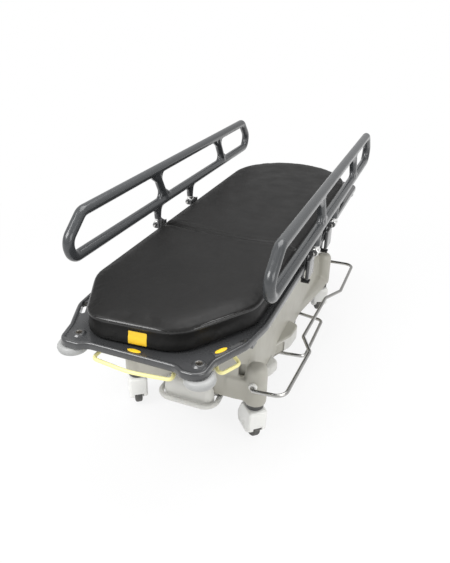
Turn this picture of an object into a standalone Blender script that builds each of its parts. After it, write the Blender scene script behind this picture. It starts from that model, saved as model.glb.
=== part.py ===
"""Emergency stretcher trolley: a mattress deck with two folding side rails on a
pump-lifted, castored base.

Metres, +Z up, +Y from the foot end to the head end, +X to the right side. The origin is on the floor,
under the middle of the trolley.
"""

import math

import bmesh
import bpy
from mathutils import Matrix, Quaternion, Vector

# Driving sizes of the base
WHEELBASE = 1.130
TRACK = 0.544
WHEEL_RADIUS = 0.0625
WHEEL_WIDTH = 0.036
FORK_WIDTH = 0.078
FORK_TRAIL = 0.022
COVER_OVERHANG = 0.035
COVER_SETBACK = 0.010
COVER_LENGTH = WHEELBASE + 2 * COVER_OVERHANG
COVER_WIDTH = TRACK - 2 * COVER_SETBACK
COVER_HEIGHT = 0.258
COVER_WALL = 0.006
TOWER_RADIUS = 0.047
TOWER_HEIGHT = 0.185
BRAKE_REACH = 0.155
BRAKE_ROD = 0.008
BRAKE_LEAN = 0.035
PEDAL_ROD = 0.008
FOOT_PEDAL_ROD = 0.011

# Driving sizes of the lift and the platform
COLUMN_SPACING = 0.660
COLUMN_RADIUS = 0.045
RAM_RADIUS = 0.0365
DECK_WIDTH = 0.690
DECK_LENGTH = 2.060
DECK_THICK = 0.024
DECK_MARGIN = 0.025
MATTRESS_WIDTH = DECK_WIDTH - 2 * DECK_MARGIN
MATTRESS_LENGTH = DECK_LENGTH - 2 * DECK_MARGIN
MATTRESS_SIDE = 0.080
MATTRESS_CROWN = 0.017
BACK_Y = -0.180
ROLLER_RADIUS = 0.0525
ROLLER_THICK = 0.030
ROLLER_OUT = 0.012
ROLLER_AHEAD = 0.022
BAR_ROD = 0.0065
SEAT_RADIUS = 0.018
SEAT_HEIGHT = 0.0008
LEFT_FLANK = 0.018

# Driving sizes of the side rails
RAIL_FOOT = -0.800
RAIL_HEAD = 1.008
RAIL_RISE = 0.153
RAIL_TUBE = 0.020
RAIL_STRUT = 0.017
RAIL_LEGS = (-0.145, 0.200)

# Clearances
GAP = 0.0003
RUN = 0.00006
SIDES = 12
TOWER_SIDES = 16
WHEEL_SIDES = 16

# Heights, each standing on the one below it
FORK_TOP = 2 * WHEEL_RADIUS + 0.033
COLLAR_LOW = FORK_TOP + 0.002
COLLAR_HIGH = COLLAR_LOW + 0.018
TOWER_LOW = COLLAR_HIGH + GAP
TOWER_HIGH = TOWER_LOW + TOWER_HEIGHT
COVER_LOW = TOWER_LOW + 0.012
COVER_HIGH = COVER_LOW + COVER_HEIGHT
PLATE_LOW = COVER_LOW + 0.010
PLATE_HIGH = PLATE_LOW + 0.035
BRAKE_Z = TOWER_LOW + 0.108
SIDE_PEDAL_Z = COVER_LOW - 0.0155
FOOT_PEDAL_Z = COVER_LOW - 0.030
COLUMN_LOW = COVER_LOW - 0.090
COLUMN_HIGH = COVER_HIGH + 0.007
HEAD_LOW = COLUMN_HIGH + 0.030
HEAD_HIGH = HEAD_LOW + 0.030
TILT_Z = HEAD_HIGH + 0.030
FRAME_LOW = TILT_Z + 0.025
BEAM_HIGH = FRAME_LOW + 0.042
DECK_LOW = BEAM_HIGH + GAP
DECK_HIGH = DECK_LOW + DECK_THICK
MATTRESS_LOW = DECK_HIGH + GAP
MATTRESS_SEAM = MATTRESS_LOW + MATTRESS_SIDE
BACK_Z = MATTRESS_SEAM + 0.002
ROLLER_HIGH = DECK_LOW - 0.0015
ROLLER_LOW = ROLLER_HIGH - ROLLER_THICK
BAR_Z = DECK_LOW - 0.017
BAR_DROP = 0.018
RAIL_PIVOT_Z = DECK_HIGH + 0.054
RAIL_LOW = RAIL_PIVOT_Z + 0.097
RAIL_HIGH = RAIL_LOW + RAIL_RISE

# Plan places that several pieces share
CASTOR_X = TRACK / 2
CASTOR_Y = WHEELBASE / 2
COVER_X = COVER_WIDTH / 2
COVER_Y = COVER_LENGTH / 2
COVER_CORNER = 0.070
POST_RADIUS = TOWER_RADIUS - 0.014
STEM_RADIUS = 0.012
BRAKE_X = CASTOR_X + 0.003
BRAKE_Y = CASTOR_Y + TOWER_RADIUS + 0.022
PEDAL_X = COVER_X - 0.017
COLUMN_Y = COLUMN_SPACING / 2
DECK_X = DECK_WIDTH / 2
DECK_Y = DECK_LENGTH / 2
MATTRESS_X = MATTRESS_WIDTH / 2
MATTRESS_Y = MATTRESS_LENGTH / 2
FOOT_LEFT = Vector((-MATTRESS_X + 0.135, -MATTRESS_Y - 0.005, 0))
FOOT_RIGHT = Vector((MATTRESS_X - 0.170, -MATTRESS_Y + 0.018, 0))
HOLE_INSET = 0.050
FOOT_LOBE = Vector((MATTRESS_X - 0.102, -MATTRESS_Y + 0.016, 0))
HEAD_LOBE = Vector((MATTRESS_X - 0.025, MATTRESS_Y - 0.070, 0))
RAIL_X = DECK_X + 0.025
QUADRANT_X = 0.190
QUADRANT_IN = 0.170
QUADRANT_OUT = 0.190

for old in list(bpy.data.objects):
    bpy.data.objects.remove(old, do_unlink=True)
PARTS = bpy.data.collections.new("stretcher_trolley")
HELPERS = bpy.data.collections.new("cutters_and_joiners")
bpy.context.scene.collection.children.link(PARTS)
bpy.context.scene.collection.children.link(HELPERS)


def finish(name, colour, roughness, metallic=0.0):
    """A Principled material with the colour, roughness and metal of one finish."""
    made = bpy.data.materials.get(name)
    if made is None:
        made = bpy.data.materials.new(name)
        made.use_nodes = True
        shader = made.node_tree.nodes["Principled BSDF"]
        shader.inputs["Base Color"].default_value = (*colour, 1)
        shader.inputs["Roughness"].default_value = roughness
        shader.inputs["Metallic"].default_value = metallic
        made.diffuse_color = (*colour, 1)
    return made


CREAM = finish("cream_moulding", (0.60, 0.58, 0.48), 0.45)
WHITE = finish("white_moulding", (0.80, 0.80, 0.77), 0.40)
PALE = finish("pale_grey_moulding", (0.52, 0.53, 0.53), 0.45)
STEEL = finish("painted_steel", (0.20, 0.20, 0.20), 0.50, 0.3)
CHROME = finish("chrome", (0.55, 0.55, 0.54), 0.20, 1.0)
RUBBER = finish("grey_tyre", (0.10, 0.10, 0.09), 0.70)
COLLAR = finish("dark_collar", (0.10, 0.10, 0.09), 0.55)
DECK = finish("dark_grey_moulding", (0.055, 0.057, 0.060), 0.35)
RAIL = finish("grey_rail", (0.085, 0.088, 0.092), 0.38)
PANEL = finish("panel_board", (0.09, 0.09, 0.09), 0.60)
VINYL = finish("black_vinyl", (0.014, 0.014, 0.015), 0.45)
YELLOW_ROD = finish("pale_yellow_rod", (0.83, 0.78, 0.35), 0.45)
YELLOW = finish("yellow_inlay", (0.80, 0.50, 0.03), 0.50)
BLACK = finish("black_latch", (0.012, 0.012, 0.012), 0.45)


def keep(mesh, name, material=None):
    """An object for a mesh: a part when it has a material, and else a hidden helper."""
    obj = bpy.data.objects.new(name, mesh)
    if material is None:
        HELPERS.objects.link(obj)
        obj.hide_render = True
        obj.display_type = "WIRE"
    else:
        PARTS.objects.link(obj)
        mesh.materials.append(material)
    return obj


def from_bmesh(work, name, material=None):
    bmesh.ops.remove_doubles(work, verts=work.verts, dist=1e-6)
    bmesh.ops.recalc_face_normals(work, faces=work.faces)
    mesh = bpy.data.meshes.new(name)
    work.to_mesh(mesh)
    work.free()
    return keep(mesh, name, material)


def box(name, low, high, material=None, edge=0.0):
    """A block between two corners, with its edges rounded where edge is given."""
    low = Vector(low)
    high = Vector(high)
    size = high - low
    work = bmesh.new()
    bmesh.ops.create_cube(work, size=1)
    bmesh.ops.scale(work, vec=size, verts=work.verts)
    bmesh.ops.translate(work, vec=(low + high) / 2, verts=work.verts)
    made = from_bmesh(work, name, material)
    if edge:
        round_edges = made.modifiers.new("round_edges", "BEVEL")
        round_edges.width = edge
        round_edges.segments = 2
    return made


def rod(name, start, end, radius, material=None, sides=SIDES, end_radius=None):
    """A round bar from start to end, or a taper where end_radius is given."""
    start = Vector(start)
    end = Vector(end)
    along = end - start
    turn = Vector((0, 0, 1)).rotation_difference(along).to_matrix().to_4x4()
    work = bmesh.new()
    bmesh.ops.create_cone(
        work,
        cap_ends=True,
        segments=sides,
        radius1=radius,
        radius2=radius if end_radius is None else end_radius,
        depth=along.length,
        matrix=Matrix.Translation((start + end) / 2) @ turn,
    )
    return from_bmesh(work, name, material)


def hole_for(radius):
    """The radius of a faceted bore that lets a faceted shaft turn in it."""
    return (radius + RUN) / math.cos(math.pi / SIDES)


def filleted(corners, closed, step=18):
    """Points along straight lines whose corners, (x, y, z, radius), are rounded."""
    points = []
    count = len(corners)
    for i, (x, y, z, radius) in enumerate(corners):
        here = Vector((x, y, z))
        if not radius or (not closed and i in (0, count - 1)):
            points.append(here)
            continue
        back = (Vector(corners[i - 1][:3]) - here).normalized()
        ahead = (Vector(corners[(i + 1) % count][:3]) - here).normalized()
        between = back.angle(ahead)
        sweep = math.pi - between
        if sweep < 0.01:
            points.append(here)
            continue
        first = here + back * radius / math.tan(between / 2)
        centre = here + (back + ahead).normalized() * radius / math.sin(between / 2)
        arm = first - centre
        axis = back.cross(ahead).normalized() * -1
        pieces = max(2, math.ceil(math.degrees(sweep) / step))
        for k in range(pieces + 1):
            points.append(centre + Quaternion(axis, sweep * k / pieces) @ arm)
    return points


def curve_mesh(name, data, material=None):
    """The closed mesh of a curve, with the points of its caps and sides joined."""
    shape = bpy.data.objects.new(name + "_curve", data)
    HELPERS.objects.link(shape)
    bpy.context.view_layer.update()
    graph = bpy.context.evaluated_depsgraph_get()
    mesh = bpy.data.meshes.new_from_object(shape.evaluated_get(graph))
    bpy.data.objects.remove(shape, do_unlink=True)
    work = bmesh.new()
    work.from_mesh(mesh)
    bpy.data.meshes.remove(mesh)
    bmesh.ops.remove_doubles(work, verts=work.verts, dist=1e-5)
    return from_bmesh(work, name, material)


def add_spline(data, points, closed):
    line = data.splines.new("POLY")
    line.points.add(len(points) - 1)
    for spot, point in zip(line.points, points):
        spot.co = (*point, 1)
    line.use_cyclic_u = closed


def tube(name, corners, radius, material=None, closed=False, ring=2, step=18):
    """A bent round rod through corners of (x, y, z, bend radius)."""
    data = bpy.data.curves.new(name, "CURVE")
    data.dimensions = "3D"
    data.bevel_depth = radius
    data.bevel_resolution = ring
    data.use_fill_caps = True
    add_spline(data, filleted(corners, closed, step), closed)
    return curve_mesh(name, data, material)


def slab(name, outline, low, high, material=None, edge=0.0):
    """A flat outline of (x, y) points as a plate from low to high, with rounded rims."""
    data = bpy.data.curves.new(name, "CURVE")
    data.dimensions = "2D"
    data.fill_mode = "BOTH"
    data.extrude = (high - low) / 2 - edge
    data.bevel_depth = edge
    data.bevel_resolution = 0
    data.offset = -edge
    add_spline(data, [(x, y, 0) for x, y in outline], True)
    made = curve_mesh(name, data, material)
    made.data.transform(Matrix.Translation((0, 0, (low + high) / 2)))
    return made


def loft(name, rings, material=None):
    """A closed skin over rings of equally many points, capped at both ends."""
    work = bmesh.new()
    rows = [[work.verts.new(point) for point in ring] for ring in rings]
    count = len(rows[0])
    for lower, upper in zip(rows, rows[1:]):
        for i in range(count):
            work.faces.new((lower[i], lower[(i + 1) % count], upper[(i + 1) % count], upper[i]))
    work.faces.new(reversed(rows[0]))
    work.faces.new(rows[-1])
    return from_bmesh(work, name, material)


def tongue(name, y, z, radius, low, x_low, x_high, foot=0.0, shoulder=0.0):
    """An upright hinge ear, round at the top about (y, z), with an optional foot on its +Y side."""
    rim = [(y - radius, low)]
    if foot:
        rim += [(y + foot, low), (y + foot, shoulder)]
    else:
        rim.append((y + radius, low))
    for k in range(9):
        angle = math.pi * k / 8
        rim.append((y + radius * math.cos(angle), z + radius * math.sin(angle)))
    return loft(name, [[Vector((x, u, v)) for u, v in rim] for x in (x_low, x_high)])


def knob(name, x_from, x, z, radius, y_low, y_high):
    """A level hinge lug from x_from to a round end about (x, z)."""
    side = 1 if x > x_from else -1
    rim = [(x_from, z + radius), (x_from, z - radius)]
    for k in range(9):
        angle = math.pi * (k / 8 - 0.5)
        rim.append((x + side * radius * math.cos(angle), z + radius * math.sin(angle)))
    return loft(name, [[Vector((u, y, v)) for u, v in rim] for y in (y_low, y_high)])


def boolean(obj, other, operation):
    step = obj.modifiers.new(operation.lower() + "_" + other.name, "BOOLEAN")
    step.operation = operation
    step.solver = "EXACT"
    step.object = other
    return obj


def cut(obj, *others):
    for other in others:
        boolean(obj, other, "DIFFERENCE")
    return obj


def join(obj, *others):
    for other in others:
        boolean(obj, other, "UNION")
    return obj


def pivot(name, at, *objects):
    """An empty on a joint axis that carries the pieces that move about it."""
    axis = bpy.data.objects.new(name, None)
    axis.empty_display_size = 0.05
    axis.location = Vector(at)
    PARTS.objects.link(axis)
    for obj in objects:
        obj.parent = axis
        obj.matrix_parent_inverse = Matrix.Translation(-Vector(at))
    return axis


def flat(points):
    return [(point.x, point.y) for point in points]


def rectangle(half_x, half_y, corner, step=23):
    corners = [(-half_x, -half_y), (half_x, -half_y), (half_x, half_y), (-half_x, half_y)]
    return filleted([(x, y, 0, corner) for x, y in corners], True, step)


def at_height(points, z):
    return [Vector((point[0], point[1], z)) for point in points]


def mattress_rim(cut_y, end):
    """The anticlockwise outline of one mattress section, from the fold at cut_y to its end."""
    if end < 0:
        corners = [
            (MATTRESS_X, cut_y, 0, 0.018),
            (-MATTRESS_X, cut_y, 0, 0.018),
            (-MATTRESS_X, -MATTRESS_Y + 0.265, 0, 0.180),
            (FOOT_LEFT.x, FOOT_LEFT.y, 0, 0.110),
            (FOOT_RIGHT.x, FOOT_RIGHT.y, 0, 0.150),
            (MATTRESS_X, -MATTRESS_Y + 0.283, 0, 0.150),
        ]
    else:
        bend = MATTRESS_X - 0.001
        corners = [
            (-MATTRESS_X, cut_y, 0, 0.018),
            (MATTRESS_X, cut_y, 0, 0.018),
            (MATTRESS_X, MATTRESS_Y, 0, bend),
            (-MATTRESS_X, MATTRESS_Y, 0, bend),
        ]
    return filleted(corners, True, 15)


def drawn_in(points, inset):
    """An anticlockwise outline moved inwards along its own normals."""
    moved = []
    for k, point in enumerate(points):
        along = (points[(k + 1) % len(points)] - points[k - 1]).normalized()
        moved.append(point + Vector((-along.y, along.x, 0)) * inset)
    return moved


def gathered(points, share, end):
    """An outline drawn by a share of the way to the middle line of its mattress section."""
    span = sorted((end * (MATTRESS_Y - MATTRESS_X), BACK_Y + end * 0.270))
    moved = []
    for point in points:
        middle = Vector((0, min(max(point.y, span[0]), span[1]), 0))
        moved.append(point.lerp(middle, share))
    return moved


def capsule(inset, head_inset=0.0, pieces=14):
    """The whole mattress outline drawn in by inset."""
    radius = MATTRESS_X - inset
    centre = MATTRESS_Y - MATTRESS_X
    points = []
    for end, shift in ((-1, 0.0), (1, head_inset)):
        for k in range(pieces + 1):
            angle = math.pi * k / pieces
            x = end * radius * -math.cos(angle) * -1
            points.append(Vector((-x, end * centre + end * radius * math.sin(angle) - shift, 0)))
    return points


# Base cover: a drafted hump with a tower over each castor, open below
RINGS = (
    (COVER_LOW, 0.0),
    (COVER_HIGH - 0.048, 0.013),
    (COVER_HIGH - 0.016, 0.022),
    (COVER_HIGH, 0.042),
)


def hump(name, wall, low, high, material=None):
    rings = []
    for z, inset in RINGS:
        level = low if z == COVER_LOW else z - wall
        outline = rectangle(COVER_X - inset - wall, COVER_Y - 1.6 * inset - wall, COVER_CORNER)
        rings.append(at_height(outline, level))
    return loft(name, rings, material)


base_cover = hump("base_cover", 0.0, COVER_LOW, COVER_HIGH, CREAM)
CORNERS = (("fr", 1, -1), ("fl", -1, -1), ("rr", 1, 1), ("rl", -1, 1))
for tag, side, end in CORNERS:
    rings = []
    for rise, radius in ((0.0, 1.0), (0.80, 1.0), (0.90, 0.93), (0.96, 0.78), (1.0, 0.45)):
        ring = []
        for k in range(TOWER_SIDES):
            angle = 2 * math.pi * k / TOWER_SIDES
            x = side * CASTOR_X + TOWER_RADIUS * radius * math.cos(angle)
            y = end * CASTOR_Y + TOWER_RADIUS * radius * math.sin(angle)
            ring.append(Vector((x, y, TOWER_LOW + rise * TOWER_HEIGHT)))
        rings.append(ring)
    join(base_cover, loft("tower_" + tag, rings))
    eye = rod(
        "eyelet_" + tag,
        (side * BRAKE_X, end * (BRAKE_Y - 0.045), BRAKE_Z),
        (side * BRAKE_X, end * (BRAKE_Y - 0.0135), BRAKE_Z),
        0.017,
    )
    join(base_cover, eye)
# A low fairing runs forwards from each rear tower and dies out in the side
for tag, side in (("r", 1), ("l", -1)):
    rings = []
    for z, out in ((COVER_LOW + 0.001, 0.053), (COVER_LOW + 0.020, 0.047), (COVER_LOW + 0.050, 0.020)):
        corners = [
            Vector((side * (COVER_X - 0.006), 0.140, z)),
            Vector((side * (COVER_X - 0.003 + 0.1 * out), 0.170, z)),
            Vector((side * (COVER_X + out), CASTOR_Y - 0.060, z)),
            Vector((side * (COVER_X + out), CASTOR_Y - 0.020, z)),
            Vector((side * (COVER_X - 0.006), CASTOR_Y - 0.010, z)),
        ]
        rings.append(corners if side > 0 else list(reversed(corners)))
    join(base_cover, loft("fairing_" + tag, rings))
cut(base_cover, hump("cover_hollow", COVER_WALL, COVER_LOW - 0.010, COVER_HIGH))
for tag, side, end in CORNERS:
    post_hole = rod(
        "post_hole_" + tag,
        (side * CASTOR_X, end * CASTOR_Y, TOWER_LOW - 0.010),
        (side * CASTOR_X, end * CASTOR_Y, TOWER_LOW + 0.143),
        POST_RADIUS + GAP,
    )
    eye_hole = rod(
        "eye_hole_" + tag,
        (side * BRAKE_X, end * (BRAKE_Y - 0.040), BRAKE_Z),
        (side * BRAKE_X, end * (BRAKE_Y + 0.010), BRAKE_Z),
        hole_for(BRAKE_ROD),
    )
    cut(base_cover, post_hole, eye_hole)
for tag, end in (("foot", -1), ("head", 1)):
    column_hole = rod(
        "column_hole_" + tag,
        (0, end * COLUMN_Y, COVER_HIGH - 0.030),
        (0, end * COLUMN_Y, COVER_HIGH + 0.010),
        COLUMN_RADIUS + 0.003,
    )
    cut(base_cover, column_hole)

# Chassis: a plate with four arms, each ending in the post that takes a castor stem
base_chassis = box(
    "base_chassis",
    (-COVER_X + 0.082, -COVER_Y + 0.100, PLATE_LOW),
    (COVER_X - 0.082, COVER_Y - 0.100, PLATE_HIGH),
    STEEL,
)
for tag, side, end in CORNERS:
    corner_x = COVER_X - COVER_WALL - COVER_CORNER
    corner_y = COVER_Y - COVER_WALL - COVER_CORNER
    stop = Vector((side * CASTOR_X, end * CASTOR_Y, 0))
    along = (stop - Vector((side * corner_x, end * corner_y, 0))).normalized()
    start = Vector((side * corner_x, end * corner_y, 0)) - along * 0.060
    across = Vector((-along.y, along.x, 0)) * 0.011
    foot_print = [start - across, stop - across, stop + across, start + across]
    foot_print = [at_height(foot_print, PLATE_LOW + 0.002), at_height(foot_print, PLATE_HIGH - 0.002)]
    arm = loft("arm_" + tag, foot_print)
    wider = across * 1.1
    passage = [start - wider, stop - wider, stop + wider, start + wider]
    passage = [at_height(passage, PLATE_LOW), at_height(passage, PLATE_HIGH)]
    cut(base_cover, loft("arm_passage_" + tag, passage))
    post = rod(
        "post_" + tag,
        (side * CASTOR_X, end * CASTOR_Y, TOWER_LOW + GAP),
        (side * CASTOR_X, end * CASTOR_Y, TOWER_LOW + 0.140),
        POST_RADIUS,
    )
    stem_hole = rod(
        "stem_hole_" + tag,
        (side * CASTOR_X, end * CASTOR_Y, TOWER_LOW - 0.010),
        (side * CASTOR_X, end * CASTOR_Y, TOWER_LOW + 0.124),
        hole_for(STEM_RADIUS),
    )
    join(base_chassis, arm, post)
    cut(base_chassis, stem_hole)
for tag, end in (("foot", -1), ("head", 1)):
    seat = rod(
        "column_seat_" + tag,
        (0, end * COLUMN_Y, PLATE_LOW - 0.010),
        (0, end * COLUMN_Y, PLATE_HIGH + 0.010),
        COLUMN_RADIUS + GAP,
    )
    cut(base_chassis, seat)
LUG_Y = 0.110
for side in (1, -1):
    for end in (1, -1):
        tag = ("r" if side > 0 else "l") + ("h" if end > 0 else "f")
        near = min(side * (COVER_X - 0.100), side * (COVER_X - 0.0095))
        far = max(side * (COVER_X - 0.100), side * (COVER_X - 0.0095))
        bridge = box(
            "lug_bridge_" + tag,
            (near, end * LUG_Y - 0.010, PLATE_LOW + 0.003),
            (far, end * LUG_Y + 0.010, PLATE_HIGH - 0.003),
        )
        near = min(side * (PEDAL_X - 0.016), side * (COVER_X - 0.0095))
        far = max(side * (PEDAL_X - 0.016), side * (COVER_X - 0.0095))
        lug = box(
            "pedal_lug_" + tag,
            (near, end * LUG_Y - 0.008, SIDE_PEDAL_Z - 0.014),
            (far, end * LUG_Y + 0.008, PLATE_HIGH - 0.006),
        )
        join(base_chassis, bridge, lug)
    side_tag = "r" if side > 0 else "l"
    shaft_hole = rod(
        "side_shaft_hole_" + side_tag,
        (side * PEDAL_X, -LUG_Y - 0.030, SIDE_PEDAL_Z),
        (side * PEDAL_X, LUG_Y + 0.030, SIDE_PEDAL_Z),
        hole_for(PEDAL_ROD),
    )
    cut(base_chassis, shaft_hole)
FOOT_SHAFT_Y = -COVER_Y + 0.040
for side in (1, -1):
    lug = box(
        "foot_lug_" + ("r" if side > 0 else "l"),
        (side * 0.085 - 0.008, FOOT_SHAFT_Y - 0.016, FOOT_PEDAL_Z - 0.016),
        (side * 0.085 + 0.008, -COVER_Y + 0.125, PLATE_LOW + 0.020),
    )
    join(base_chassis, lug)
foot_shaft_hole = rod(
    "foot_shaft_hole",
    (-0.120, FOOT_SHAFT_Y, FOOT_PEDAL_Z),
    (0.120, FOOT_SHAFT_Y, FOOT_PEDAL_Z),
    hole_for(FOOT_PEDAL_ROD - 0.002),
)
cut(base_chassis, foot_shaft_hole)

# Castors: collar, hooded fork with its stem and axle, and wheel
FACING = {"fr": 132, "fl": 127, "rr": 116, "rl": 118}
POCKET = WHEEL_WIDTH / 2 + 0.0015


def castor(tag, side, end):
    here = Vector((side * CASTOR_X, end * CASTOR_Y, 0))
    turn = Matrix.Translation(here) @ Matrix.Rotation(math.radians(FACING[tag]), 4, "Z")
    centre = Vector((FORK_TRAIL, 0, WHEEL_RADIUS))
    low = here + Vector((0, 0, COLLAR_LOW))
    high = here + Vector((0, 0, COLLAR_HIGH))
    beyond = Vector((0, 0, 0.010))
    collar = rod("castor_collar_" + tag, low, high, 0.036, COLLAR)
    cut(collar, rod("collar_bore_" + tag, low - beyond, high + beyond, STEM_RADIUS + 0.001))

    skirt = 0.50 * WHEEL_RADIUS
    back = centre.x - WHEEL_RADIUS - 0.008
    front = centre.x + WHEEL_RADIUS + 0.008
    corners = [
        (back + 0.006, skirt + 0.030, 0, 0.008),
        (back + 0.042, skirt, 0, 0.020),
        (front - 0.012, skirt, 0, 0.012),
        (front, WHEEL_RADIUS + 0.012, 0, 0.040),
        (front - 0.044, FORK_TOP, 0, 0.040),
        (back, FORK_TOP, 0, 0.012),
    ]
    outline = flat(filleted(corners, True, 30))
    fork = slab("castor_fork_" + tag, outline, -FORK_WIDTH / 2, FORK_WIDTH / 2, WHITE, 0.006)
    fork.data.transform(Matrix.Rotation(math.pi / 2, 4, "X"))
    wide = Vector((0, POCKET, 0))
    room = WHEEL_RADIUS + 0.004
    rim = [(centre.x - room, -0.010), (centre.x + room, -0.010)]
    for k in range(11):
        angle = math.pi * k / 10
        rim.append((centre.x + room * math.cos(angle), centre.z + room * math.sin(angle)))
    pocket = loft("wheel_pocket_" + tag, [[Vector((u, y, v)) for u, v in rim] for y in (-POCKET, POCKET)])
    axle = rod("axle_" + tag, centre - 1.3 * wide, centre + 1.3 * wide, 0.006)
    stem = rod("stem_" + tag, (0, 0, FORK_TOP - 0.006), (0, 0, TOWER_LOW + 0.120), STEM_RADIUS)
    cut(fork, pocket)
    join(fork, axle, stem)

    half = WHEEL_WIDTH / 2
    profile = (
        (hole_for(0.006), half),
        (0.020, half),
        (WHEEL_RADIUS - 0.016, half - 0.005),
        (WHEEL_RADIUS - 0.004, half - 0.003),
        (WHEEL_RADIUS, half - 0.009),
    )
    section = [(radius, width) for radius, width in profile]
    section += [(radius, -width) for radius, width in reversed(profile)]
    work = bmesh.new()
    spots = [work.verts.new((radius, width, 0)) for radius, width in section]
    edges = [work.edges.new((spots[i], spots[(i + 1) % len(spots)])) for i in range(len(spots))]
    bmesh.ops.spin(
        work,
        geom=spots + edges,
        cent=(0, 0, 0),
        axis=(0, 1, 0),
        angle=2 * math.pi,
        steps=WHEEL_SIDES,
        use_merge=True,
    )
    bmesh.ops.translate(work, vec=centre, verts=work.verts)
    wheel = from_bmesh(work, "castor_wheel_" + tag, RUBBER)
    for piece in (fork, pocket, axle, stem, wheel):
        piece.data.transform(turn)
    pivot("swivel_axis_" + tag, here + Vector((0, 0, FORK_TOP)), fork)
    pivot("axle_axis_" + tag, turn @ centre, wheel)


for tag, side, end in CORNERS:
    castor(tag, side, end)

# Pumps: a flaring pod on each side and one at the foot, each worked by a hoop pedal
for tag, side in (("right", 1), ("left", -1)):
    root = COVER_X + 0.0001
    corners = [
        (side * root, -0.262, 0, 0),
        (side * (COVER_X + 0.038), -0.150, 0, 0.030),
        (side * (COVER_X + 0.044), -0.050, 0, 0.020),
        (side * root, -0.030, 0, 0),
    ]
    outline = flat(filleted(corners if side > 0 else list(reversed(corners)), True, 30))
    low = SIDE_PEDAL_Z + PEDAL_ROD + 0.0045
    slab("pump_pod_" + tag, outline, low, COVER_LOW + 0.068, PALE, 0.008)
    out = COVER_X + 0.114
    pedal = tube(
        "pump_pedal_" + tag,
        [
            (side * PEDAL_X, -0.190, SIDE_PEDAL_Z, 0),
            (side * out, -0.175, SIDE_PEDAL_Z, 0.028),
            (side * out, 0.165, SIDE_PEDAL_Z, 0.028),
            (side * PEDAL_X, 0.190, SIDE_PEDAL_Z, 0),
        ],
        PEDAL_ROD,
        CHROME,
    )
    shaft = rod(
        "side_shaft_" + tag,
        (side * PEDAL_X, -0.198, SIDE_PEDAL_Z),
        (side * PEDAL_X, 0.198, SIDE_PEDAL_Z),
        PEDAL_ROD,
    )
    join(pedal, shaft)
    pivot("pedal_axis_" + tag, (side * PEDAL_X, 0, SIDE_PEDAL_Z), pedal)

NOSE = (
    (-0.016, 0.012),
    (-0.008, 0.002),
    (0.014, 0.0),
    (0.050, 0.003),
    (0.068, 0.011),
    (0.075, 0.022),
)
nose = []
for z, inset in NOSE:
    front = -COVER_Y - 0.040 + inset
    half = 0.110 - inset
    back = -COVER_Y - 0.0004
    bend = min(0.034, back - front - 0.004)
    corners = [
        (half, back, 0, 0),
        (-half, back, 0, 0),
        (-half, front, 0, bend),
        (half, front, 0, bend),
    ]
    nose.append(at_height(filleted(corners, True, 18), FOOT_PEDAL_Z + z))
loft("pump_pod_foot", nose, PALE)
pump_pedal_foot = tube(
    "pump_pedal_foot",
    [
        (-0.122, FOOT_SHAFT_Y, FOOT_PEDAL_Z, 0),
        (-0.128, -COVER_Y - 0.058, FOOT_PEDAL_Z, 0.055),
        (0.128, -COVER_Y - 0.058, FOOT_PEDAL_Z, 0.055),
        (0.122, FOOT_SHAFT_Y, FOOT_PEDAL_Z, 0),
    ],
    FOOT_PEDAL_ROD,
    PALE,
    step=22,
)
foot_shaft = rod(
    "foot_shaft",
    (-0.130, FOOT_SHAFT_Y, FOOT_PEDAL_Z),
    (0.130, FOOT_SHAFT_Y, FOOT_PEDAL_Z),
    FOOT_PEDAL_ROD - 0.002,
)
join(pump_pedal_foot, foot_shaft)
pivot("pedal_axis_foot", (0, FOOT_SHAFT_Y, FOOT_PEDAL_Z), pump_pedal_foot)

# Brake bars: one bent rod along each side, turning in the eyelets of two towers
for tag, side in (("right", 1), ("left", -1)):
    bends = [
        (0, -BRAKE_Y + 0.0355, 0),
        (0, -BRAKE_Y, 0.012),
        (BRAKE_REACH - 0.024, -BRAKE_Y + 0.006, 0.045),
        (BRAKE_REACH - 0.010, -0.295, 0.030),
        (BRAKE_REACH - 0.066, -0.190, 0.030),
        (BRAKE_REACH - 0.054, 0.195, 0.030),
        (BRAKE_REACH, 0.300, 0.030),
        (BRAKE_REACH, BRAKE_Y - 0.006, 0.042),
        (0, BRAKE_Y, 0.012),
        (0, BRAKE_Y - 0.0355, 0),
    ]
    path = [(side * (BRAKE_X + x), y, BRAKE_Z + BRAKE_LEAN * x, bend) for x, y, bend in bends]
    bar = tube("brake_bar_" + tag, path, BRAKE_ROD, CHROME, step=25)
    pivot("brake_axis_" + tag, (side * BRAKE_X, 0, BRAKE_Z), bar)

# Lift: two pump columns and the head that both rams carry
lift_pieces = []
for tag, end in (("foot", -1), ("head", 1)):
    foot = (0, end * COLUMN_Y, COLUMN_LOW)
    top = (0, end * COLUMN_Y, COLUMN_HIGH)
    sleeve = rod("column_tube_" + tag, foot, top, COLUMN_RADIUS, STEEL)
    bore = rod(
        "column_bore_" + tag,
        (0, end * COLUMN_Y, COLUMN_LOW + 0.008),
        (0, end * COLUMN_Y, COLUMN_HIGH + 0.010),
        RAM_RADIUS + RUN,
    )
    cut(sleeve, bore)
    ram = rod(
        "column_ram_" + tag,
        (0, end * COLUMN_Y, COLUMN_LOW + 0.010),
        (0, end * COLUMN_Y, HEAD_LOW - GAP),
        RAM_RADIUS,
        CHROME,
    )
    lift_pieces.append(ram)
lift_head = box(
    "lift_head",
    (-0.045, -COLUMN_Y - 0.055, HEAD_LOW),
    (0.045, COLUMN_Y + 0.055, HEAD_HIGH),
    STEEL,
)
for tag, side in (("r", 1), ("l", -1)):
    xs = (side * 0.036 - 0.008, side * 0.036 + 0.008)
    cheek = tongue("cheek_" + tag, 0, TILT_Z, 0.020, HEAD_LOW + 0.005, *xs)
    join(lift_head, cheek)
join(lift_head, rod("trunnion", (-0.088, 0, TILT_Z), (0.088, 0, TILT_Z), 0.010))
lift_pieces.append(lift_head)
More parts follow.
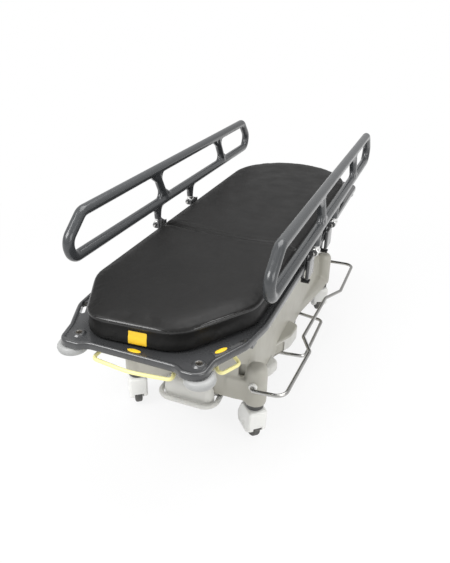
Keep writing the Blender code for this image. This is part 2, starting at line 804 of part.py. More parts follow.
pivot("lift_axis", (0, 0, HEAD_LOW), *lift_pieces)

# Under-frame: two beams and cross bars that tilt on the lift head
platform = []
BEAM_X = 0.150
FRAME_END = MATTRESS_Y - 0.145
CROSS_END = FRAME_END - 0.120
CROSS_MIDDLE = 0.470
under_frame = box(
    "under_frame",
    (BEAM_X - 0.020, -FRAME_END, FRAME_LOW),
    (BEAM_X + 0.020, FRAME_END, BEAM_HIGH),
    STEEL,
)
beam_left = box(
    "beam_left",
    (-BEAM_X - 0.020, -FRAME_END, FRAME_LOW),
    (-BEAM_X + 0.020, FRAME_END, BEAM_HIGH),
)
join(under_frame, beam_left)
for tag, y in (("a", -CROSS_END), ("b", -CROSS_MIDDLE), ("d", CROSS_MIDDLE), ("e", CROSS_END)):
    half = DECK_X - 0.030
    cross = box(
        "cross_" + tag,
        (-half, y - 0.020, FRAME_LOW + 0.001),
        (half, y + 0.020, BEAM_HIGH - 0.0004),
    )
    join(under_frame, cross)
cross = box(
    "cross_c",
    (-BEAM_X - 0.010, -0.030, FRAME_LOW + 0.001),
    (BEAM_X + 0.010, 0.030, FRAME_LOW + 0.030),
)
join(under_frame, cross)
for tag, side in (("r", 1), ("l", -1)):
    xs = (side * 0.070 - 0.008, side * 0.070 + 0.008)
    hanger = tongue("hanger_" + tag, 0, TILT_Z, -0.020, FRAME_LOW + 0.015, *xs)
    join(under_frame, hanger)
cut(under_frame, rod("trunnion_hole", (-0.120, 0, TILT_Z), (0.120, 0, TILT_Z), hole_for(0.010)))
LOCK_ANGLE = math.radians(-46)
lock_y = BACK_Y + (QUADRANT_IN + QUADRANT_OUT) / 2 * math.cos(LOCK_ANGLE)
lock_z = BACK_Z + (QUADRANT_IN + QUADRANT_OUT) / 2 * math.sin(LOCK_ANGLE)
lock = box(
    "quadrant_lock",
    (BEAM_X + 0.010, lock_y - 0.040, FRAME_LOW + 0.002),
    (QUADRANT_X + 0.020, lock_y + 0.040, BEAM_HIGH - 0.004),
)
join(under_frame, lock)


def arc_plate(name, inner, outer, x_low, x_high, first, last, material=None, step=4):
    """A flat arc round the backrest axis, from angle first to angle last in degrees below the deck."""
    count = math.ceil(abs(last - first) / step)
    rim = []
    for radius, order in ((inner, range(count + 1)), (outer, range(count, -1, -1))):
        for k in order:
            angle = math.radians(first + (last - first) * k / count)
            rim.append((BACK_Y + radius * math.cos(angle), BACK_Z + radius * math.sin(angle)))
    rings = [[Vector((x, y, z)) for y, z in rim] for x in (x_low, x_high)]
    return loft(name, rings, material)


slot = arc_plate(
    "lock_slot",
    QUADRANT_IN - 0.002,
    QUADRANT_OUT + 0.002,
    QUADRANT_X - 0.0045,
    QUADRANT_X + 0.0045,
    -20,
    -80,
)
cut(under_frame, slot)
platform.append(under_frame)

# Deck: the dark moulded rim with corner lobes, pole sockets, hand-holds and roller pins
right_side = [
    (FOOT_LOBE.x - 0.066, -DECK_Y - 0.004, 0, 0.040),
    (FOOT_LOBE.x - 0.034, -DECK_Y - 0.022, 0, 0.030),
    (FOOT_LOBE.x + 0.040, -DECK_Y - 0.022, 0, 0.045),
    (FOOT_LOBE.x + 0.044, -DECK_Y + 0.074, 0, 0.050),
    (MATTRESS_X + 0.002, -DECK_Y + 0.200, 0, 0.120),
    (DECK_X, -DECK_Y + 0.340, 0, 0.160),
    (DECK_X, MATTRESS_Y - 0.018, 0, 0.060),
    (MATTRESS_X - 0.090, DECK_Y + 0.022, 0, 0.090),
]
left_side = [(-x, y, z, bend) for x, y, z, bend in reversed(right_side)]
for k, share in ((3, 0.7), (4, 1.0)):
    x, y, z, bend = left_side[k]
    left_side[k] = (x - LEFT_FLANK * share, y, z, bend)
deck = slab("deck", flat(filleted(right_side + left_side, True, 24)), DECK_LOW, DECK_HIGH, DECK, 0.008)
cut(deck, slab("panel_hole", flat(capsule(HOLE_INSET)), DECK_LOW - 0.010, DECK_HIGH + 0.010))
hold_from = Vector((MATTRESS_X - 0.014, -MATTRESS_Y + 0.200, 0))
hold_to = Vector((MATTRESS_X - 0.048, -MATTRESS_Y + 0.128, 0))
lobes = []
for tag, side in (("right", 1), ("left", -1)):
    along = (hold_to - hold_from).normalized()
    across = Vector((-along.y, along.x, 0)) * 0.009
    corners = [hold_from - across, hold_to - across, hold_to + across, hold_from + across]
    shift = 0.0 if side > 0 else -0.7 * LEFT_FLANK
    corners = [(side * p.x + shift, p.y, 0, 0.0085) for p in corners]
    outline = flat(filleted(corners, True, 30))
    cut(deck, slab("hand_hold_" + tag, outline, DECK_LOW - 0.010, DECK_HIGH + 0.010))
    xs = sorted((side * (MATTRESS_X - 0.058), side * (DECK_X - 0.0085)))
    notch = box(
        "arm_notch_" + tag,
        (xs[0], BACK_Y - 0.025, DECK_LOW - 0.010),
        (xs[1], BACK_Y + 0.110, DECK_HIGH + 0.010),
    )
    cut(deck, notch)
    ear_xs = sorted((side * (DECK_X - 0.0078), side * (DECK_X - 0.0012)))
    join(deck, tongue("hinge_ear_" + tag, BACK_Y, BACK_Z, 0.0175, DECK_LOW + 0.004, *ear_xs))
    pin_hole = rod(
        "ear_hole_" + tag,
        (side * (DECK_X - 0.030), BACK_Y, BACK_Z),
        (side * (DECK_X + 0.010), BACK_Y, BACK_Z),
        0.006 + GAP,
    )
    cut(deck, pin_hole)
    for where, spot in (("foot", FOOT_LOBE), ("head", HEAD_LOBE)):
        x = side * spot.x
        y = spot.y
        label = where + "_" + tag
        seat = rod("seat_" + label, (x, y, DECK_HIGH - 0.004), (x, y, DECK_HIGH + SEAT_HEIGHT), SEAT_RADIUS)
        join(deck, seat)
        cut(deck, rod("socket_" + label, (x, y, DECK_HIGH - 0.018), (x, y, DECK_HIGH + 0.010), 0.0115))
        if where == "foot":
            x += side * ROLLER_OUT
            y -= ROLLER_AHEAD
        lobes.append((label, Vector((x, y, 0))))
        pin = rod("roller_pin_" + label, (x, y, ROLLER_LOW - 0.004), (x, y, DECK_LOW + 0.006), 0.010)
        low = (x, y, ROLLER_LOW - 0.006)
        cap = rod("roller_cap_" + label, low, (x, y, ROLLER_LOW - 0.0008), 0.016, sides=8)
        join(deck, pin, cap)

# Release bars: three yellow rods under the foot edge, each turning in two lugs of the deck
BAR_LUG = 0.0095


def release_bar(tag, first, last, outer_first, outer_last, bow):
    """A hanging hoop whose ends turn about the line from first to last."""
    first = Vector((first[0], first[1], BAR_Z))
    last = Vector((last[0], last[1], BAR_Z))
    along = (last - first).normalized()
    outer_first = Vector((outer_first[0], outer_first[1], BAR_Z - BAR_DROP))
    outer_last = Vector((outer_last[0], outer_last[1], BAR_Z - BAR_DROP))
    middle = (outer_first + outer_last) / 2 + Vector((0, -bow, 0))
    path = [
        (*(first - along * 0.0265), 0),
        (*first, 0.0085),
        (*outer_first, 0.014),
        (*middle, 0.300),
        (*outer_last, 0.014),
        (*last, 0.0085),
        (*(last + along * 0.0265), 0),
    ]
    if not bow:
        path.pop(3)
    bar = tube("release_bar_" + tag, path, BAR_ROD, YELLOW_ROD, step=25)
    for name, spot in (("a", first - along * 0.0215), ("b", last + along * 0.0215)):
        top = Vector((spot.x, spot.y, DECK_LOW + 0.006))
        lug = rod("bar_lug_" + tag + name, spot - Vector((0, 0, 0.012)), top, BAR_LUG, sides=8)
        hole = rod("bar_hole_" + tag + name, spot - along * 0.020, spot + along * 0.020, hole_for(BAR_ROD))
        join(deck, lug)
        cut(deck, hole)
    pivot("release_axis_" + tag, (first + last) / 2, bar)


foot_y = -DECK_Y + 0.055
release_bar(
    "foot",
    (-0.128, foot_y),
    (0.128, foot_y),
    (-0.146, foot_y - 0.053),
    (0.146, foot_y - 0.053),
    0.019,
)
for tag, side in (("right", 1), ("left", -1)):
    first = (side * (MATTRESS_X - 0.092), -MATTRESS_Y + 0.110)
    last = (side * (MATTRESS_X - 0.058), -MATTRESS_Y + 0.167)
    outer_first = (side * (MATTRESS_X - 0.052), -MATTRESS_Y + 0.057)
    outer_last = (side * (MATTRESS_X - 0.012), -MATTRESS_Y + 0.140)
    release_bar(tag, first, last, outer_first, outer_last, 0)
LATCH_X = DECK_X - 0.020
LATCH_Z = DECK_LOW - 0.021
for tag, side in (("right", 1), ("left", -1)):
    x = side * LATCH_X
    for name, y in (("a", RAIL_LEGS[0] + 0.105), ("b", RAIL_LEGS[1] - 0.050)):
        foot = (x, y, LATCH_Z - 0.010)
        join(deck, rod("latch_lug_" + tag + name, foot, (x, y, DECK_LOW + 0.006), 0.009, sides=8))
        near = (x, y - 0.02, LATCH_Z)
        cut(deck, rod("latch_hole_" + tag + name, near, (x, y + 0.02, LATCH_Z), hole_for(0.005)))
platform.append(deck)

# Bumper rollers under the four lobes
for tag, here in lobes:
    size = ROLLER_RADIUS if tag.startswith("foot") else ROLLER_RADIUS - 0.008
    outline = []
    for k in range(WHEEL_SIDES):
        angle = 2 * math.pi * k / WHEEL_SIDES
        outline.append((size * math.cos(angle), size * math.sin(angle)))
    roller = slab("bumper_roller_" + tag, outline, ROLLER_LOW, ROLLER_HIGH, PALE, 0.007)
    roller.data.transform(Matrix.Translation(here))
    low = here + Vector((0, 0, ROLLER_LOW - 0.010))
    cut(roller, rod("roller_bore_" + tag, low, here + Vector((0, 0, ROLLER_HIGH + 0.010)), hole_for(0.010)))
    pivot("roller_axis_" + tag, here + Vector((0, 0, ROLLER_LOW)), roller)

# Panels under the mattress, and the backrest with its hinge arms and toothless quadrant
seam_gap = 0.006
leg_outline = [p for p in capsule(HOLE_INSET + 0.002) if p.y < 0]
cut_x = MATTRESS_X - HOLE_INSET - 0.002
leg_outline = flat(leg_outline) + [(-cut_x, BACK_Y - seam_gap), (cut_x, BACK_Y - seam_gap)]
leg_panel = slab("leg_panel", leg_outline, DECK_LOW, DECK_HIGH, PANEL)
platform.append(leg_panel)
back_outline = [p for p in capsule(HOLE_INSET + 0.002, 0.009) if p.y > 0]
back_outline = flat(back_outline) + [(cut_x, BACK_Y + seam_gap), (-cut_x, BACK_Y + seam_gap)]
backrest_panel = slab("backrest_panel", back_outline, DECK_LOW, DECK_HIGH, PANEL)
back_pieces = [backrest_panel]
for tag, side in (("right", 1), ("left", -1)):
    face = DECK_X - 0.0090
    near = min(side * (cut_x - 0.040), side * face)
    far = max(side * (cut_x - 0.040), side * face)
    strap = box(
        "arm_strap_" + tag,
        (near, BACK_Y + 0.010, DECK_LOW + 0.002),
        (far, BACK_Y + 0.050, DECK_HIGH - 0.002),
    )
    xs = sorted((side * (face - 0.0078), side * (face + 0.0002)))
    upright = tongue(
        "arm_" + tag,
        BACK_Y,
        BACK_Z,
        0.0138,
        DECK_LOW + 0.003,
        *xs,
        foot=0.048,
        shoulder=DECK_HIGH + 0.010,
    )
    inner = (xs[0] - 0.01, BACK_Y, BACK_Z)
    hole = rod("arm_hole_" + tag, inner, (xs[1] + 0.01, BACK_Y, BACK_Z), hole_for(0.006))
    join(backrest_panel, strap, upright)
    cut(backrest_panel, hole)
    pin = rod(
        "backrest_pin_" + tag,
        (side * (DECK_X - 0.0175), BACK_Y, BACK_Z),
        (side * (DECK_X - 0.0005), BACK_Y, BACK_Z),
        0.006,
        CHROME,
    )
    platform.append(pin)
quadrant = arc_plate(
    "backrest_quadrant",
    QUADRANT_IN,
    QUADRANT_OUT,
    QUADRANT_X - 0.004,
    QUADRANT_X + 0.004,
    -28,
    -126,
    STEEL,
)
trim = box(
    "quadrant_trim",
    (QUADRANT_X - 0.02, BACK_Y - 0.3, DECK_LOW - GAP),
    (QUADRANT_X + 0.02, BACK_Y + 0.3, DECK_HIGH + 0.1),
)
cut(quadrant, trim)
back_pieces.append(quadrant)

# Mattress: two crowned sections that meet at the backrest fold
SECTION = (
    (0.0, 0.014),
    (0.09, 0.006),
    (0.25, 0.0035),
    (0.50, 0.0065),
    (0.78, 0.003),
    (0.94, 0.0),
    (1.0, 0.001),
)
CROWN = ((0.30, 0.012), (0.55, 0.060), (0.85, 0.200), (1.0, 0.450))


def mattress(name, cut_y, end):
    rim = mattress_rim(cut_y, end)
    rings = []
    for share, inset in SECTION:
        rings.append(at_height(drawn_in(rim, inset), MATTRESS_LOW + share * MATTRESS_SIDE))
    for share, part in CROWN:
        rings.append(at_height(gathered(rim, part, end), MATTRESS_SEAM + share * MATTRESS_CROWN))
    return loft(name, rings, VINYL)


platform.append(mattress("mattress_foot", BACK_Y - 0.002, -1))
back_pieces.append(mattress("mattress_back", BACK_Y + 0.002, 1))
pivot("backrest_axis", (0, BACK_Y, BACK_Z), *back_pieces)

# Plain yellow inlays: a patch on the foot face of the mattress and two ovals on the deck
work = bmesh.new()
columns = 4
layers = []
slope = (FOOT_RIGHT.y - FOOT_LEFT.y) / (FOOT_RIGHT.x - FOOT_LEFT.x)
for reach in (0.0004, 0.0018):
    rows = []
    for z_share, inset in ((0.12, 0.0055), (0.25, 0.0035), (0.50, 0.0065), (0.69, 0.0041)):
        row = []
        for k in range(columns):
            x = 0.004 + 0.064 * (k / (columns - 1) - 0.5)
            y = FOOT_LEFT.y + slope * (x - FOOT_LEFT.x) + inset - reach
            row.append(work.verts.new((x, y, MATTRESS_LOW + z_share * MATTRESS_SIDE)))
        rows.append(row)
    layers.append(rows)
for rows in layers:
    for low_row, high_row in zip(rows, rows[1:]):
        for k in range(columns - 1):
            work.faces.new((low_row[k], low_row[k + 1], high_row[k + 1], high_row[k]))
inner, outer = layers
border = [(0, k) for k in range(columns)] + [(1, columns - 1), (2, columns - 1)]
border += [(3, k) for k in range(columns - 1, -1, -1)] + [(2, 0), (1, 0)]
for (i, k), (m, n) in zip(border, border[1:] + border[:1]):
    work.faces.new((inner[i][k], inner[m][n], outer[m][n], outer[i][k]))
platform.append(from_bmesh(work, "mattress_patch", YELLOW))
OVALS = (
    ("front", 0.0, -DECK_Y + 0.024, 0.0),
    ("side", MATTRESS_X - 0.066, -DECK_Y + 0.132, 1.05),
)
for tag, x, y, turn in OVALS:
    oval = []
    for k in range(20):
        angle = 2 * math.pi * k / 20
        spot = Matrix.Rotation(turn, 2) @ Vector((0.024 * math.cos(angle), 0.0085 * math.sin(angle)))
        oval.append((x + spot.x, y + spot.y))
    platform.append(slab("deck_oval_" + tag, oval, DECK_HIGH + GAP, DECK_HIGH + 0.0020, YELLOW))

# Side rails: tube loop with two struts and two legs, hinged low on the deck sides
def rail_bracket(label, side, y):
    """The plate on the deck side with the two lugs that hold one leg's hinge pin."""
    x = side * RAIL_X
    wall = DECK_X + GAP
    xs = sorted((side * wall, side * (wall + 0.0145)))
    low = (xs[0], y - 0.045, DECK_LOW - 0.044)
    high = (xs[1], y + 0.045, RAIL_PIVOT_Z - 0.030)
    bracket = box("rail_bracket_" + label, low, high, DECK, 0.004)
    xs = sorted((side * wall, side * (wall + 0.0035)))
    low = (xs[0], y - 0.038, RAIL_PIVOT_Z - 0.045)
    high = (xs[1], y + 0.038, RAIL_PIVOT_Z + 0.012)
    join(bracket, box("web_" + label, low, high))
    for letter, end in (("a", -1), ("b", 1)):
        ys = sorted((y + end * 0.0235, y + end * 0.0360))
        from_x = side * (wall + 0.001)
        join(bracket, knob("hinge_lug_" + label + letter, from_x, x, RAIL_PIVOT_Z, 0.0122, *ys))
    near = (x, y - 0.050, RAIL_PIVOT_Z)
    cut(bracket, rod("hinge_hole_" + label, near, (x, y + 0.050, RAIL_PIVOT_Z), 0.006 + GAP))
    return bracket


for tag, side in (("right", 1), ("left", -1)):
    x = side * RAIL_X
    loop = [
        (x, RAIL_FOOT + 0.094, RAIL_HIGH, 0.050),
        (x, RAIL_FOOT - 0.006, RAIL_LOW + 0.072, 0.050),
        (x, RAIL_FOOT + 0.016, RAIL_LOW, 0.045),
        (x, RAIL_HEAD - 0.018, RAIL_LOW, 0.045),
        (x, RAIL_HEAD + 0.006, RAIL_LOW + 0.066, 0.050),
        (x, RAIL_HEAD - 0.076, RAIL_HIGH, 0.050),
    ]
    rail = tube("rail_" + tag, loop, RAIL_TUBE, RAIL, closed=True, step=22)
    for name, top, bottom in (("a", -0.155, -0.070), ("b", 0.540, 0.632)):
        join(rail, rod("strut_" + tag + name, (x, top, RAIL_HIGH), (x, bottom, RAIL_LOW), RAIL_STRUT))
    for name, y in zip(("foot", "head"), RAIL_LEGS):
        label = tag + "_" + name
        foot = (x, y, RAIL_PIVOT_Z)
        leg = rod("leg_" + label, foot, (x, y, RAIL_LOW), 0.0135, end_radius=0.0185)
        near = (x, y - 0.022, RAIL_PIVOT_Z)
        knuckle = rod("knuckle_" + label, near, (x, y + 0.022, RAIL_PIVOT_Z), 0.016)
        near = (x, y - 0.040, RAIL_PIVOT_Z)
        hole = rod("knuckle_hole_" + label, near, (x, y + 0.040, RAIL_PIVOT_Z), hole_for(0.006))
        join(rail, leg, knuckle)
        cut(rail, hole)
        platform.append(rail_bracket(label, side, y))
        near = (x, y - 0.0405, RAIL_PIVOT_Z)
        platform.append(rod("rail_pin_" + label, near, (x, y + 0.0405, RAIL_PIVOT_Z), 0.006, CHROME))
    pivot("rail_axis_" + tag, (x, 0, RAIL_PIVOT_Z), rail)
    x = side * LATCH_X
    latch = rod(
        "rail_latch_" + tag,
        (x, RAIL_LEGS[0] - 0.012, LATCH_Z),
        (x, RAIL_LEGS[1] + 0.012, LATCH_Z),
        0.005,
        BLACK,
        12,
    )
    hook = [
        (-0.0035, -0.052),
        (0.032, -0.052),
        (0.032, -0.044),
        (0.0035, -0.044),
        (0.0035, 0.003),
        (-0.0035, 0.003),
    ]
    for name, y in zip(("foot", "head"), RAIL_LEGS):
        rim = [(x + side * u, LATCH_Z + v) for u, v in hook]
        rings = [[Vector((u, spot, v)) for u, v in rim] for spot in (y - 0.014, y + 0.014)]
        join(latch, loft("latch_hook_" + tag + name, rings))
    pivot("latch_axis_" + tag, (x, 0, LATCH_Z), latch)
pivot("tilt_axis", (0, 0, TILT_Z), *platform)
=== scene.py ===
import math

import bmesh
import bpy
import numpy as np
from mathutils import Matrix, Quaternion, Vector
from mathutils.bvhtree import BVHTree


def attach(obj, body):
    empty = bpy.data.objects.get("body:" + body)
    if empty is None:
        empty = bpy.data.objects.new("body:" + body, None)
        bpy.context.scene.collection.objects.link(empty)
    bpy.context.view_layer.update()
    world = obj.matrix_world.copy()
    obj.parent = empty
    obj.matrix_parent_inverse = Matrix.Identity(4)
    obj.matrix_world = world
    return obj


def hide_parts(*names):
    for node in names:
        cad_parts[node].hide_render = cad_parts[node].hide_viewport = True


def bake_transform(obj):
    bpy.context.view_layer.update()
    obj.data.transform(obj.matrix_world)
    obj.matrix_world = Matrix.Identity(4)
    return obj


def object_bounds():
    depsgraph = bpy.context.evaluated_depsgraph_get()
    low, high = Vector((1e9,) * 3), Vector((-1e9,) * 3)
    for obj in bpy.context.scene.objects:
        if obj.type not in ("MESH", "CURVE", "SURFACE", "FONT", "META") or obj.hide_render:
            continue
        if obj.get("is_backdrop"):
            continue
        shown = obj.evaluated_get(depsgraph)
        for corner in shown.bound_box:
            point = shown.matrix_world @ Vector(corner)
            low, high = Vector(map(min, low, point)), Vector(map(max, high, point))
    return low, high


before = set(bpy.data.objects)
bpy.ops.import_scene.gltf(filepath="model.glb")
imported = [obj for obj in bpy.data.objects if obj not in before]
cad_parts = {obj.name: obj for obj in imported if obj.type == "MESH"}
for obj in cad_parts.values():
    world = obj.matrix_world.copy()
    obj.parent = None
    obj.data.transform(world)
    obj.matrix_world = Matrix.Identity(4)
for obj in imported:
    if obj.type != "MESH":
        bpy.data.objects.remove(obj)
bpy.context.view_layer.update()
SCENE = bpy.context.scene

# Sizes that the pieces share with the solids, in metres
CASTOR_X, CASTOR_Y, WHEEL_RADIUS, WHEEL_WIDTH = 0.272, 0.565, 0.0625, 0.036
COVER_X, COVER_Y, COVER_LOW, COVER_HIGH = 0.262, 0.600, 0.1903, 0.4483
TOWER_RADIUS, TOWER_LOW, TOWER_HEIGHT = 0.047, 0.1783, 0.185
FORK_TOP, FORK_TRAIL, FORK_WIDTH = 0.158, 0.022, 0.078
COLLAR_LOW, COLLAR_HIGH = 0.160, 0.178
BRAKE_X, BRAKE_Y, BRAKE_Z, BRAKE_REACH, BRAKE_LEAN, BRAKE_ROD = 0.275, 0.634, 0.2863, 0.155, 0.035, 0.008
PEDAL_X, SIDE_PEDAL_Z, FOOT_PEDAL_Z, FOOT_SHAFT_Y = 0.245, 0.1748, 0.1603, -0.560
COLUMN_Y, COLUMN_RADIUS, RAM_RADIUS = 0.330, 0.045, 0.0365
COLUMN_LOW, COLUMN_HIGH, HEAD_LOW = 0.1003, 0.4553, 0.4853
DECK_X, DECK_Y, DECK_LOW, DECK_HIGH = 0.345, 1.030, 0.6126, 0.6366
MATTRESS_X, MATTRESS_Y, MATTRESS_LOW, SEAM = 0.320, 1.005, 0.6369, 0.7169
CROWN, BACK_Y, BACK_Z = 0.017, -0.180, 0.7189
FOOT_LEFT, FOOT_RIGHT = (-0.185, -1.010), (0.150, -0.987)
FOOT_LOBE, HEAD_LOBE = Vector((0.218, -0.989, 0)), Vector((0.295, 0.935, 0))
FOOT_ROLLER = Vector((0.230, -1.011, 0))
ROLLER_LOW = 0.5811
BAR_Z, BAR_DROP, BAR_ROD = 0.5956, 0.018, 0.0065
RAIL_X, RAIL_PIVOT_Z, RAIL_LOW, RAIL_HIGH = 0.370, 0.6906, 0.7876, 0.9406
RAIL_FOOT, RAIL_HEAD, RAIL_LEGS = -0.800, 1.008, (-0.145, 0.200)
FACING = {"fr": 132, "fl": 127, "rr": 116, "rl": 118}
LEFT_FLANK = 0.018
CORNERS = (("fr", 1, -1), ("fl", -1, -1), ("rr", 1, 1), ("rl", -1, 1))
SIDES = (("right", 1), ("left", -1))


# Materials


def add_node(tree, kind, inputs=None, **settings):
    """A node with its settings, each input set to a value or linked to another node's output."""
    made = tree.nodes.new(kind)
    for key, value in settings.items():
        setattr(made, key, value)
    for socket, value in (inputs or {}).items():
        if hasattr(value, "is_output"):
            tree.links.new(value, made.inputs[socket])
        else:
            made.inputs[socket].default_value = value
    return made


class Finish:
    """A procedural material: its node tree, with short ways to add to it."""

    def __init__(self, name):
        self.material = bpy.data.materials.new(name)
        self.material.use_nodes = True
        self.tree = self.material.node_tree
        self.shader = self.tree.nodes["Principled BSDF"]
        self.place = add_node(self.tree, "ShaderNodeTexCoord").outputs["Object"]

    def noise(self, scale, detail, rough=0.55, stretch=None):
        place = self.place
        if stretch:
            drawn = add_node(self.tree, "ShaderNodeMapping", {"Vector": place, "Scale": stretch})
            place = drawn.outputs["Vector"]
        inputs = {"Vector": place, "Scale": scale, "Detail": detail, "Roughness": rough}
        return add_node(self.tree, "ShaderNodeTexNoise", inputs).outputs["Fac"]

    def cells(self, scale):
        made = add_node(self.tree, "ShaderNodeTexVoronoi", {"Vector": self.place, "Scale": scale})
        return made.outputs["Distance"]

    def span(self, value, low, high, first, last):
        inputs = {"Value": value, "From Min": low, "From Max": high, "To Min": first, "To Max": last}
        return add_node(self.tree, "ShaderNodeMapRange", inputs).outputs["Result"]

    def blend(self, share, first, second):
        first, second = (c if hasattr(c, "is_output") else (*c, 1) for c in (first, second))
        inputs = {0: share, 6: first, 7: second}
        return add_node(self.tree, "ShaderNodeMix", inputs, data_type="RGBA").outputs[2]

    def add(self, first, second, how="ADD"):
        return add_node(self.tree, "ShaderNodeMath", {0: first, 1: second}, operation=how).outputs[0]

    def height(self):
        return add_node(self.tree, "ShaderNodeSeparateXYZ", {0: self.place}).outputs["Z"]

    def colour(self, value):
        self.tree.links.new(value, self.shader.inputs["Base Color"])

    def rough(self, value):
        self.tree.links.new(value, self.shader.inputs["Roughness"])

    def bump(self, value, distance, strength):
        inputs = {"Strength": strength, "Distance": distance, "Height": value}
        made = add_node(self.tree, "ShaderNodeBump", inputs)
        self.tree.links.new(made.outputs["Normal"], self.shader.inputs["Normal"])

    def set(self, **values):
        for key, value in values.items():
            self.shader.inputs[key.replace("_", " ")].default_value = value


def moulded(name, colour, rough, grain, blotch, low_dirt_and_shade=None, coat=0.0):
    """Moulded plastic: slight colour drift, uneven gloss, a fine spark-eroded grain and, if given, dirt and
    painted shade low down.
    """
    made = Finish(name)
    drift = made.span(made.noise(7.0, 4.0), 0.3, 0.7, 0.0, 1.0)
    dark = tuple(c * (1 - blotch) for c in colour)
    light = tuple(min(1, c * (1 + blotch)) for c in colour)
    paint = made.blend(drift, dark, light)
    scuff = made.span(made.noise(46.0, 6.0, 0.7), 0.62, 0.80, 0.0, 0.35)
    paint = made.blend(scuff, paint, tuple(c * 0.72 for c in colour))
    # Dirt and painted shade: a darker tint blended in towards the bottom in noisy patches, fading out between
    # two heights
    if low_dirt_and_shade:
        first, last, tint = low_dirt_and_shade
        reach = made.add(made.span(made.height(), first, last, 0.55, 0.0), made.noise(16.0, 5.0), "MULTIPLY")
        paint = made.blend(reach, paint, tint)
    made.colour(paint)
    made.rough(made.span(made.noise(24.0, 5.0), 0.3, 0.75, rough - 0.06, rough + 0.10))
    made.bump(made.add(made.noise(900.0, 2.0), made.add(made.cells(420.0), 0.5, "MULTIPLY")), grain, 0.5)
    made.set(Coat_Weight=coat, Coat_Roughness=0.14)
    return made.material


def metal(name, colour, rough):
    """Plated metal: fine draw lines and faint stains."""
    made = Finish(name)
    stain = made.span(made.noise(22.0, 6.0, 0.65), 0.50, 0.78, 0.0, 1.0)
    made.colour(made.blend(stain, colour, tuple(c * 0.70 for c in colour)))
    made.rough(made.span(made.noise(60.0, 5.0), 0.3, 0.8, rough, rough + 0.16))
    made.bump(made.noise(700.0, 2.0, stretch=(1.0, 1.0, 0.05)), 0.00005, 0.35)
    made.set(Metallic=1.0)
    return made.material


def coated(name, colour, rough, chip):
    """A coated steel rod: slight orange peel, and worn spots where the coat is thin."""
    made = Finish(name)
    worn = made.span(made.noise(34.0, 6.0, 0.7), 0.66, 0.76, 0.0, 0.8)
    drift = made.span(made.noise(9.0, 3.0), 0.3, 0.7, 0.0, 1.0)
    made.colour(made.blend(worn, made.blend(drift, colour, tuple(min(1, c * 1.08) for c in colour)), chip))
    made.rough(made.span(made.noise(40.0, 4.0), 0.3, 0.8, rough - 0.05, rough + 0.12))
    made.bump(made.noise(260.0, 3.0), 0.00008, 0.4)
    return made.material


def vinyl_cloth(name, rough, shine, slackness):
    """Coated black mattress fabric: pebbled grain over slight slack, rubbed paler in places."""
    made = Finish(name)
    rub = made.span(made.noise(3.2, 4.0), 0.35, 0.70, 0.0, 1.0)
    paint = made.blend(rub, (0.0058, 0.0056, 0.0054), (0.0095, 0.0092, 0.0089))
    mark = made.span(made.noise(30.0, 7.0, 0.7, (1.0, 0.35, 1.0)), 0.60, 0.78, 0.0, 0.6)
    made.colour(made.blend(mark, paint, (0.015, 0.0145, 0.0140)))
    made.rough(made.span(made.noise(12.0, 5.0), 0.3, 0.75, rough - 0.06, rough + 0.10))
    pebble = made.add(made.cells(520.0), 0.35, "MULTIPLY")
    slack = made.add(made.noise(14.0, 3.0, 0.5, (1.0, 0.55, 1.0)), slackness, "MULTIPLY")
    made.bump(made.add(pebble, slack), 0.0011, 0.55)
    made.set(Specular_IOR_Level=shine)
    return made.material


def tread_rubber():
    """Grey tyre rubber with floor dust in its grain."""
    made = Finish("tread_rubber")
    dust = made.span(made.noise(38.0, 6.0, 0.7), 0.42, 0.74, 0.0, 1.0)
    made.colour(made.blend(dust, (0.085, 0.085, 0.080), (0.19, 0.185, 0.17)))
    made.rough(made.span(made.noise(50.0, 4.0), 0.3, 0.8, 0.60, 0.85))
    made.bump(made.noise(480.0, 3.0), 0.0003, 0.5)
    return made.material


# Dirt and painted shade low on the cover and the hoods: the heights between which they fade, and their colour
COVER_DIRT_AND_SHADE, HOOD_DIRT_AND_SHADE = (0.19, 0.30, (0.30, 0.28, 0.23)), (0.02, 0.07, (0.42, 0.41, 0.37))
CREAM = moulded("cream_cover", (0.460, 0.448, 0.395), 0.42, 0.00010, 0.05, COVER_DIRT_AND_SHADE, 0.05)
WHITE = moulded("white_hood", (0.87, 0.87, 0.84), 0.36, 0.00006, 0.03, HOOD_DIRT_AND_SHADE, 0.10)
PALE = moulded("pale_grey_plastic", (0.385, 0.39, 0.385), 0.42, 0.00008, 0.04)
POD = moulded("pump_housing_plastic", (0.66, 0.655, 0.62), 0.38, 0.00007, 0.04)
DARK = moulded("dark_grey_plastic", (0.047, 0.048, 0.050), 0.27, 0.000008, 0.05, None, 0.70)
RAILS = moulded("grey_rail_sleeve", (0.048, 0.051, 0.054), 0.24, 0.000008, 0.05, None, 0.40)
COLLAR = moulded("dark_collar_plastic", (0.060, 0.060, 0.058), 0.45, 0.00010, 0.08)
BLACK = moulded("black_latch_plastic", (0.012, 0.012, 0.012), 0.42, 0.00008, 0.10)
BOARD = moulded("panel_board_matt", (0.085, 0.085, 0.086), 0.58, 0.00020, 0.08)
CHROME = metal("chrome_plate", (0.52, 0.515, 0.50), 0.10)
BRIGHT = metal("bright_hinge_plate", (0.86, 0.86, 0.85), 0.20)
LINER = metal("socket_steel", (0.40, 0.38, 0.35), 0.28)
STEEL = coated("painted_frame_steel", (0.165, 0.168, 0.170), 0.45, (0.30, 0.30, 0.30))
YELLOW_ROD = coated("pale_yellow_coat", (0.86, 0.80, 0.37), 0.40, (0.62, 0.56, 0.28))
YELLOW = coated("yellow_film", (0.83, 0.53, 0.025), 0.42, (0.62, 0.38, 0.02))
VINYL = vinyl_cloth("vinyl_cloth", 0.44, 0.24, 2.2)
PIPING = vinyl_cloth("vinyl_piping", 0.26, 0.65, 0.8)
RUBBER = tread_rubber()


# Ways to make shapes


def smoothed(mesh, sharp=42):
    """Shades a mesh smooth but for edges sharper than so many degrees."""
    mesh.shade_smooth()
    mesh.set_sharp_from_angle(angle=math.radians(sharp))


